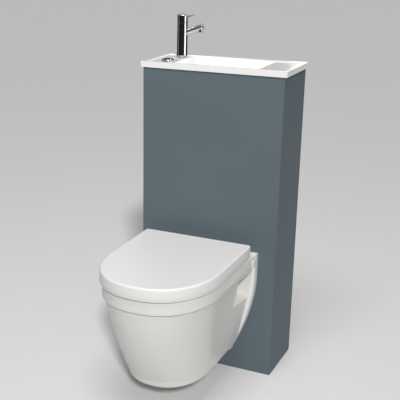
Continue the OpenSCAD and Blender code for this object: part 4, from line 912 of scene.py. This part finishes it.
deck_mesh = block(at_pan(-back_half, deck_depth, rim_z - deck_sunk), at_pan(back_half, 0, deck_top),
                  deck_radius, 4)
spigot_mesh = pan_rod(0, (-35 * mm, outlet_z), (6 * mm, outlet_z), spigot_radius, 96)
carve(pan_mesh, [flange_mesh, deck_mesh, spigot_mesh], "UNION")
pan_bores = [
    pan_rod(0, (-36 * mm, outlet_z), (92 * mm, outlet_z), outlet_radius, 96),
    pan_rod(0, (196 * mm, 223 * mm), (72 * mm, 307 * mm), trapway_radius, 64),
    pan_rod(0, (-1 * mm, inlet_z), (46 * mm, inlet_z), inlet_radius, 64),
    pan_rod(0, (40 * mm, inlet_z), (142 * mm, inlet_z), jet_radius),
]
for sign in (-1, 1):
    pan_bores += [
        pan_rod(sign * rod_apart, (-1 * mm, rod_z), (32 * mm, rod_z), rod_hole),
        pan_rod(sign * hinge_apart, (hinge_away, 384 * mm), (hinge_away, 417 * mm), hinge_hole),
    ]
carve(pan_mesh, pan_bores)
make_piece("china_pan", pan_mesh, china, "pan", "pan_rim", "pan_bowl")


# The seat: a flat ring pressed from white thermoset plastic, rounded inside and out.
# Two notches in its back clear the hinge posts, and its heel turns round the hinge pins.
seat_low, seat_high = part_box("seat_ring")
hinge_z = 434 * mm
pin_radius = 4.08 * mm
lid_half = 177 * mm
lid_front = 504 * mm
lid_back = 56 * mm
lid_corner = 10 * mm
seat_inset = 7.5 * mm
seat_back = lid_back + 6 * mm
seat_round = 8 * mm
seat_heel = 9.0 * mm
seat_clear = 14.7 * mm
hole_half = mouth_half - 6 * mm
hole_middle = mouth_middle + 3 * mm
hole_reach = mouth_reach - 8 * mm
notch_half = 18 * mm
notch_away = (30 * mm, 92 * mm)
notch_radius = 3 * mm
seat_white = (0.79, 0.79, 0.785)

duroplast = Finish("seat_plastic", "seat_white", Coat_Weight=0.3, Coat_Roughness=0.3)
flow = duroplast.noise(60 * mm, 2)
duroplast.colour(flow, seat_white, shade(seat_white, 0.985))
duroplast.set("Roughness", 0.34 + 0.08 * flow)
duroplast.relief(duroplast.noise(2.2 * mm, 2), 0.03 * mm)


def lid_outline(inset, back):
    """The lid's outline, or the seat's: straight sides, small round corners at the back."""
    half = lid_half - inset
    radius = max(2 * mm, lid_corner - inset)
    straight = side_steps // 2

    def side(number):
        if number <= straight:
            return half, curve_start + (back + radius - curve_start) * number / straight
        angle = pi / 2 * (number - straight) / (side_steps - straight)
        return half - radius * (1 - cos(angle)), back + radius * (1 - sin(angle))

    return lambda step: d_outline(step, half, curve_start, lid_front - inset, side)


def seat_outline(inset):
    return lid_outline(seat_inset + inset, seat_back + inset)


def hole_outline(grow):
    return lambda step: oval_outline(step, hole_half + grow, hole_middle, hole_reach + grow, mouth_power)


def mixed(first, second, share):
    """The outline a share of the way from one outline to another."""
    def outline(step):
        (x0, away0), (x1, away1) = first(step), second(step)
        return x0 + (x1 - x0) * share, away0 + (away1 - away0) * share
    return outline


def below_hinge(radius, reach):
    """What lies below the hinge axis outside a circle round it, from side to side."""
    low = rim_z - 9 * mm
    back = lid_back - 9 * mm
    edge = [(back, low), (reach, low), (reach, hinge_z - radius)]
    edge += [(hinge_away - radius * sin(a), hinge_z - radius * cos(a)) for a in quarter]
    edge += [(back, hinge_z)]
    return pulled([at_pan(-200 * mm, away, z) for away, z in edge], (400 * mm, 0, 0))


def hinge_rod(x, half, radius, steps=48):
    """A rod along the hinge axis, to both sides of x."""
    return rod_between(at_pan(x - half, hinge_away, hinge_z), at_pan(x + half, hinge_away, hinge_z),
                       radius, steps)


seat_outlines = [
    (seat_outline(1.5 * mm), seat_low.z),
    (seat_outline(0.4 * mm), seat_low.z + 0.5 * mm),
    (seat_outline(0), seat_low.z + 1.5 * mm),
]
seat_outlines += edge_in(seat_outline, seat_high.z, seat_round)
for share in (0.25, 0.5, 0.75):
    between = mixed(seat_outline(seat_round), hole_outline(seat_round), share)
    seat_outlines.append((between, seat_high.z))
seat_outlines += edge_down(hole_outline, seat_high.z, seat_round)
seat_outlines += [
    (hole_outline(0), seat_low.z + 2 * mm),
    (hole_outline(0.6 * mm), seat_low.z + 0.6 * mm),
    (hole_outline(2 * mm), seat_low.z),
]
seat_mesh, seat_rings = draw_outlines(seat_outlines)
bmesh.ops.bridge_loops(seat_mesh, edges=seat_rings[0] + seat_rings[-1])
tidy_mesh(seat_mesh)
seat_cuts = [below_hinge(seat_heel, hinge_away + seat_clear)]
for sign in (-1, 1):
    left, right = sign * hinge_apart - notch_half, sign * hinge_apart + notch_half
    seat_cuts.append(block(at_pan(left, notch_away[1], seat_low.z - 5 * mm),
                           at_pan(right, notch_away[0], seat_high.z + 5 * mm), notch_radius))
carve(seat_mesh, seat_cuts)
carve(seat_mesh, [hinge_rod(sign * hinge_apart, 30 * mm, pin_radius, 32) for sign in (-1, 1)])
make_piece("seat", seat_mesh, duroplast, "seat_ring")


# The lid: a shallow tray of the same plastic, turned over the seat so that its skirt hides it.
# Its top is barely crowned, its edge is rounded, and four ears carry it on the hinge pins.
lid_low, lid_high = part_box("lid")
lid_middle = 285 * mm
skirt = 5 * mm
top_thick = 6 * mm
edge_round = 6 * mm
edge_drop = 0.9 * mm
crown = 0.96 * mm
crown_reach = 220 * mm
lid_heel = 15.7 * mm
lid_notch_half = 9.5 * mm
ear_apart = 12.5 * mm
ear_half = 3 * mm
ear_radius = 8 * mm
ear_sunk = 0.5 * mm


def crowned(x, away):
    """The lid's top, which falls away slightly from its middle to its edge."""
    across = x / lid_half
    along = (away - lid_middle) / crown_reach
    return lid_high.z - crown * min(1.0, across ** 2 + along ** 2)


def shrunk(outline, share):
    """An outline drawn in toward the middle of the lid, to a share of its size."""
    def smaller(step):
        x, away = outline(step)
        return x * share, lid_middle + (away - lid_middle) * share
    return smaller


def lid_outer(inset):
    return lid_outline(inset, lid_back + inset)


def lid_inner(inset):
    return lid_outer(skirt + inset)


lid_ceiling = lid_high.z - top_thick
lid_outlines = [(shrunk(lid_inner(6 * mm), share), lid_ceiling) for share in (0.02, 0.25, 0.5, 0.72, 0.9)]
lid_outlines += [
    (lid_inner(4 * mm), lid_ceiling),
    (lid_inner(1.2 * mm), lid_ceiling - 1.2 * mm),
    (lid_inner(0), lid_ceiling - 4 * mm),
    (lid_inner(0), lid_low.z + 1 * mm),
    (lid_inner(-1 * mm), lid_low.z),
    (lid_outer(1 * mm), lid_low.z),
    (lid_outer(0.3 * mm), lid_low.z + 0.3 * mm),
    (lid_outer(0), lid_low.z + 1 * mm),
    (lid_outer(0), lid_low.z + 14 * mm),
]
lid_outlines += edge_in(lid_outer, lid_high.z - edge_drop, edge_round)
for share in (0.985, 0.93, 0.8, 0.62, 0.4, 0.2, 0.02):
    lid_outlines.append((shrunk(lid_outer(edge_round), share), crowned))
lid_mesh = close_ends(*draw_outlines(lid_outlines))
tidy_mesh(lid_mesh)
lid_cuts = [below_hinge(lid_heel, hinge_away)]
ears_mesh = bmesh.new()
for sign in (-1, 1):
    left, right = sign * hinge_apart - lid_notch_half, sign * hinge_apart + lid_notch_half
    lid_cuts.append(block(at_pan(left, lid_back + skirt + 1 * mm, lid_low.z - 1 * mm),
                          at_pan(right, lid_back - 4 * mm, hinge_z + 10 * mm)))
    for ear_x in (sign * hinge_apart - ear_apart, sign * hinge_apart + ear_apart):
        ear = hinge_rod(ear_x, ear_half, ear_radius)
        root = block(at_pan(ear_x - ear_half, hinge_away + ear_radius, hinge_z),
                     at_pan(ear_x + ear_half, hinge_away - ear_radius, lid_ceiling + ear_sunk))
        carve(ear, [root], "UNION")
        carve(ear, [hinge_rod(ear_x, 3 * ear_half, pin_radius, 32)])
        add_on(ears_mesh, ear)
carve(lid_mesh, lid_cuts)
make_piece("lid_shell", lid_mesh, duroplast, "lid")
make_piece("lid_ears", ears_mesh, duroplast, beside="lid")


# The hand basin: one thin slab of white mineral casting with a sunken deck and a shallow trough.
# The trough is steep at its right end, slopes at its left, and drains through a grid.
basin_low, basin_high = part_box("hand_basin")
slab_low = 960 * mm
deck_sink = 3 * mm
rim_wide = 13 * mm
rim_back = 20 * mm
basin_edge = 1.4 * mm
deck_z = basin_high.z - deck_sink
trough_depth = 39 * mm
trough_floor = deck_z - trough_depth
trough_left = basin_low.x + 100 * mm
trough_right = basin_high.x - 97 * mm
trough_front = casing_y + 19 * mm
trough_back = -28 * mm
trough_ramp = 48 * mm
trough_knee = 0.62
trough_tuck = 5 * mm
trough_corners = {0.0: 10 * mm, 0.03: 12 * mm, 0.12: 13 * mm, 0.4: 14 * mm, 0.75: 14 * mm, 1.0: 14 * mm}
belly_wall = 6 * mm
belly_corner = 12 * mm
waste_seat = 22.4 * mm
waste_hole = 16.4 * mm
tap_hole = 12.5 * mm
button_hole = 18.4 * mm
corner_steps = 6
casting_white = (0.80, 0.80, 0.795)
# A grey for the deck right of the trough: painted shade that stands in for the darker reflection there.
shelf_painted_shade = (0.59, 0.59, 0.6)

casting = Finish("basin_casting", "white_cast_basin", Coat_Weight=0.5, Coat_Roughness=0.12)
mottle = casting.noise(30 * mm, 4)
# The deck right of the trough is painted grey as painted shade, and is also made rougher and bumpier.
on_shelf = casting.inside(
    (trough_right + 3 * mm, basin_low.y + rim_wide + 1 * mm, deck_z - 1 * mm),
    (basin_high.x - rim_wide - 1 * mm, basin_high.y - rim_back - 1 * mm, deck_z + 1 * mm))
white_cast = casting.blend(mottle, casting_white, shade(casting_white, 0.98))
casting.colour(on_shelf, white_cast, shelf_painted_shade)
casting.set("Roughness", 0.26 + 0.1 * mottle + 0.2 * on_shelf)
casting.relief(casting.noise(1.4 * mm, 3) * (1 + 3 * on_shelf), 0.04 * mm)


def round_rectangle(x0, x1, y0, y1, radius, z):
    """A ring of points round a level rectangle with round corners."""
    centres = [(x1 - radius, y1 - radius), (x0 + radius, y1 - radius),
               (x0 + radius, y0 + radius), (x1 - radius, y0 + radius)]

    def point(step):
        corner, part = divmod(step, corner_steps + 1)
        angle = pi / 2 * (corner + part / corner_steps)
        x, y = centres[corner]
        return Vector((x + radius * cos(angle), y + radius * sin(angle), z))
    return point


def hollow(rectangles):
    """The closed solid that is drawn up through these rectangles."""
    levels = [round_rectangle(*sides) for sides in rectangles]
    return close_ends(*draw_levels(4 * (corner_steps + 1), levels))


def upright_rod(at, low, high, radius, steps=48):
    return rod_between((at.x, at.y, low), (at.x, at.y, high), radius, steps)


trough_sides = []
for share, radius in trough_corners.items():
    lower = min(1.0, share / trough_knee)
    upper = max(0.0, (share - trough_knee) / (1 - trough_knee))
    tuck = 0 if share else trough_tuck
    trough_sides.append((
        trough_left + trough_ramp * (1 - 0.65 * lower - 0.35 * upper) + tuck,
        trough_right - 12 * mm + 8 * mm * lower + 4 * mm * upper - tuck,
        trough_front + 16 * mm * (1 - lower) - 9 * mm * upper + tuck,
        trough_back - 16 * mm * (1 - lower) + 8 * mm * upper - tuck,
        radius, trough_floor + trough_depth * share))
trough_sides.append((*trough_sides[-1][:5], deck_z + 8 * mm))
belly_sides = [
    (trough_left + trough_ramp - belly_wall, trough_right - belly_wall, trough_front + 10 * mm,
     trough_back - 10 * mm, belly_corner, trough_floor - belly_wall),
    (trough_left + 0.35 * trough_ramp - belly_wall, trough_right + 2 * mm, trough_front - belly_wall,
     trough_back + belly_wall, belly_corner, slab_low + 1 * mm),
]
waste_at = centre("basin_waste")
tap_at = centre("tap_gasket")
button_at = centre("button_ring")
basin_mesh = block((basin_low.x, basin_low.y, slab_low), basin_high)
carve(basin_mesh, [hollow(belly_sides)], "UNION")
carve(basin_mesh, [
    block((basin_low.x + rim_wide, basin_low.y + rim_wide, deck_z),
          (basin_high.x - rim_wide, basin_high.y - rim_back, basin_high.z + 5 * mm)),
    hollow(trough_sides),
    upright_rod(waste_at, trough_floor - 4 * mm, trough_floor + 6 * mm, waste_seat, 64),
    upright_rod(waste_at, trough_floor - 9 * mm, trough_floor, waste_hole, 64),
    upright_rod(tap_at, slab_low - 2 * mm, basin_high.z, tap_hole),
    upright_rod(button_at, slab_low - 2 * mm, basin_high.z, button_hole, 64),
])
ease_edges(make_piece("basin", basin_mesh, casting, "hand_basin"), basin_edge, 40, 3)


# The tap: a plated brass pillar with a straight spout that rises to the right, and a turning cap
# with a thin pin for a lever. The pieces are turned, and the spout is brazed on.
deck_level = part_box("tap_gasket")[0].z
pillar_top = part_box("tap_body")[1].z
brazing_edge = 0.6 * mm
spout_low = 73 * mm
spout_rise = radians(21)
spout_length = 75 * mm
spout_radius = 9.5 * mm
outlet_pipe = 7 * mm
shank_radius = 10.5 * mm
shank_bore = 6 * mm
cap_base = pillar_top + 0.8 * mm
spindle_radius = 5 * mm
pin_rise = radians(18)
pin_length = 46 * mm
pin_thick = 2.7 * mm
pin_up = 11 * mm


def above(base, *points):
    """Points of a profile, from their radius and their height above a base, in millimetres."""
    return [(radius * mm, base + height * mm) for radius, height in points]


def turned(profile, at, steps=96):
    """A solid turned round an upright axis from (radius, height) points, base to top."""
    mesh = bmesh.new()
    verts = [mesh.verts.new((at.x + radius, at.y, z)) for radius, z in profile]
    edges = [mesh.edges.new(pair) for pair in zip(verts, verts[1:])]
    spin(mesh, verts + edges, (at.x, at.y), 2 * pi, steps, merge=True)
    tidy_mesh(mesh)
    return mesh


def arm(start, rise, length, radius, rounding, steps):
    """A rod that rises to the right, with a rounded edge at its far end."""
    way = Vector((cos(rise), 0, sin(rise)))
    rod = rod_between(start, start + way * length, radius, steps)
    round_off(rod, [edge for edge in rod.edges
                    if all((vert.co - start).dot(way) > length / 2 for vert in edge.verts)], rounding, 4)
    return rod


pillar_foot = above(deck_level, (0, 1.5), (18.5, 1.5), (18.5, 4.6), (18, 5.4), (17.3, 5.8), (17, 6.4))
pillar_head = above(pillar_top, (17, -0.5), (16.5, 0), (0, 0))
pillar_mesh = turned(pillar_foot + pillar_head, tap_at)
spout_start = Vector((tap_at.x, tap_at.y, deck_level + spout_low))
nozzle_low, nozzle_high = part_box("tap_aerator")
nozzle_at = Vector((centre("tap_aerator").x, tap_at.y))
carve(pillar_mesh, [
    arm(spout_start, spout_rise, spout_length, spout_radius, 1.6 * mm, 64),
    upright_rod(nozzle_at, nozzle_high.z, nozzle_high.z + 10 * mm, outlet_pipe),
    upright_rod(tap_at, deck_level - 48 * mm, deck_level + 3 * mm, shank_radius),
], "UNION")
carve(pillar_mesh, [upright_rod(tap_at, deck_level - 49 * mm, deck_level - 19 * mm, shank_bore)])
ease_edges(make_piece("tap_pillar", pillar_mesh, chrome, "tap_body", sharp=30), brazing_edge)

nozzle_foot = above(nozzle_low.z, (5.2, 2), (5.2, 0), (6.6, 0), (7.3, 0.6), (7.5, 1.2))
nozzle_head = above(nozzle_high.z, (7.5, 0), (0, 0)) + above(nozzle_low.z, (0, 2), (5.2, 2))
make_piece("tap_nozzle", turned(nozzle_foot + nozzle_head, nozzle_at, 64), chrome, "tap_aerator")

cap_mesh = turned(above(
    cap_base, (0, 2), (13, 2), (13.6, 0), (16.4, 0), (17, 0.6), (17, 20.5), (16.7, 22), (15.8, 23.2),
    (14, 24), (0, 24.3)), tap_at)
pin_start = Vector((tap_at.x, tap_at.y, cap_base + pin_up))
carve(cap_mesh, [
    arm(pin_start, pin_rise, pin_length, pin_thick, 1.2 * mm, 32),
    upright_rod(tap_at, pillar_top - 15 * mm, cap_base + 6 * mm, spindle_radius),
], "UNION")
make_piece("tap_cap", cap_mesh, chrome, "tap_handle", sharp=30)


# The dual flush button: a chromed ring in the deck with a round button split in two across it.
# The larger half gives the full flush, the smaller one the half flush. Each has a stem that runs
# down through a web in the ring.
web_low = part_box("button_ring")[0].z
button_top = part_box("full_flush_button")[1].z
button_low = deck_level - 4 * mm
button_edge = 0.5 * mm
stem_radius = 2.5 * mm
stem_hole = 2.8 * mm
stems = {side: centre(side + "_button_spring") for side in ("full", "half")}

ring_mesh = turned(above(
    deck_level, (16.3, -27), (18, -27), (18, 0), (20, 0), (20, 2.6), (19.6, 4.1), (18.7, 5), (17.4, 5),
    (16.6, 4.2), (16.3, 3), (16.3, -27)), button_at)
make_piece("button_collar", ring_mesh, chrome, "button_ring")
web_mesh = turned(above(web_low, (0, 0), (18, 0), (18, 3), (0, 3)), button_at, 64)
carve(web_mesh, [upright_rod(Vector((button_at.x, stem.y)), web_low - 1 * mm, web_low + 4 * mm, stem_hole)
                 for stem in stems.values()])
make_piece("button_web", web_mesh, chrome, beside="button_ring")

for side, stem in stems.items():
    half_low, half_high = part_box(side + "_flush_button")
    button_sides = above(button_low, (0, 0), (15.6, 0), (16, 0.4))
    button_face = above(button_top, (16, -1.8), (15.7, -0.9), (15, -0.4), (13, -0.15), (0, 0))
    half_mesh = turned(button_sides + button_face, button_at)
    carve(half_mesh, [block((button_at.x - 30 * mm, half_low.y, button_low - 6 * mm),
                            (button_at.x + 30 * mm, half_high.y, button_top + 5 * mm))], "INTERSECT")
    stem_rod = upright_rod(Vector((button_at.x, stem.y)), half_low.z, button_low + 1 * mm, stem_radius)
    carve(half_mesh, [stem_rod], "UNION")
    half = make_piece(side + "_flush_half", half_mesh, chrome, side + "_flush_button", sharp=30)
    ease_edges(half, button_edge, 50)


# The two springs that lift the buttons again: coils of hard drawn steel wire round the stems.
# Each stands on the collar's web, and closes up as its button goes down.
spring_bright = (0.5, 0.5, 0.52)
spring_dull = (0.4, 0.4, 0.42)
wire_radius = 0.65 * mm
wire_sides = 8
spring_turns = 7
coil_steps = 24 * spring_turns

spring_wire = Finish("spring_wire", "spring_steel", Metallic=1.0)
spring_wire.colour(spring_wire.noise(2 * mm), spring_bright, spring_dull)
spring_wire.set("Roughness", 0.25 + 0.15 * spring_wire.noise(1 * mm))
for side, stem in stems.items():
    spring_low, spring_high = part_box(side + "_button_spring")
    coil_radius = (spring_high.x - spring_low.x) / 2 - wire_radius
    height = spring_high.z - spring_low.z
    wire_start = Matrix.Translation((stem.x + coil_radius, stem.y, spring_low.z + wire_radius))
    coil_mesh = bmesh.new()
    bmesh.ops.create_circle(coil_mesh, cap_ends=False, segments=wire_sides, radius=wire_radius,
                            matrix=wire_start @ Matrix.Rotation(pi / 2, 4, "X"))
    spin(coil_mesh, coil_mesh.verts[:] + coil_mesh.edges[:], (stem.x, stem.y), 2 * pi * spring_turns,
         coil_steps, (height - 2 * wire_radius) / coil_steps)
    bmesh.ops.holes_fill(coil_mesh, edges=coil_mesh.edges[:], sides=wire_sides)
    bmesh.ops.recalc_face_normals(coil_mesh, faces=coil_mesh.faces[:])
    coil = make_piece(side + "_spring_coil", coil_mesh, spring_wire, side + "_button_spring")
    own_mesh(coil)
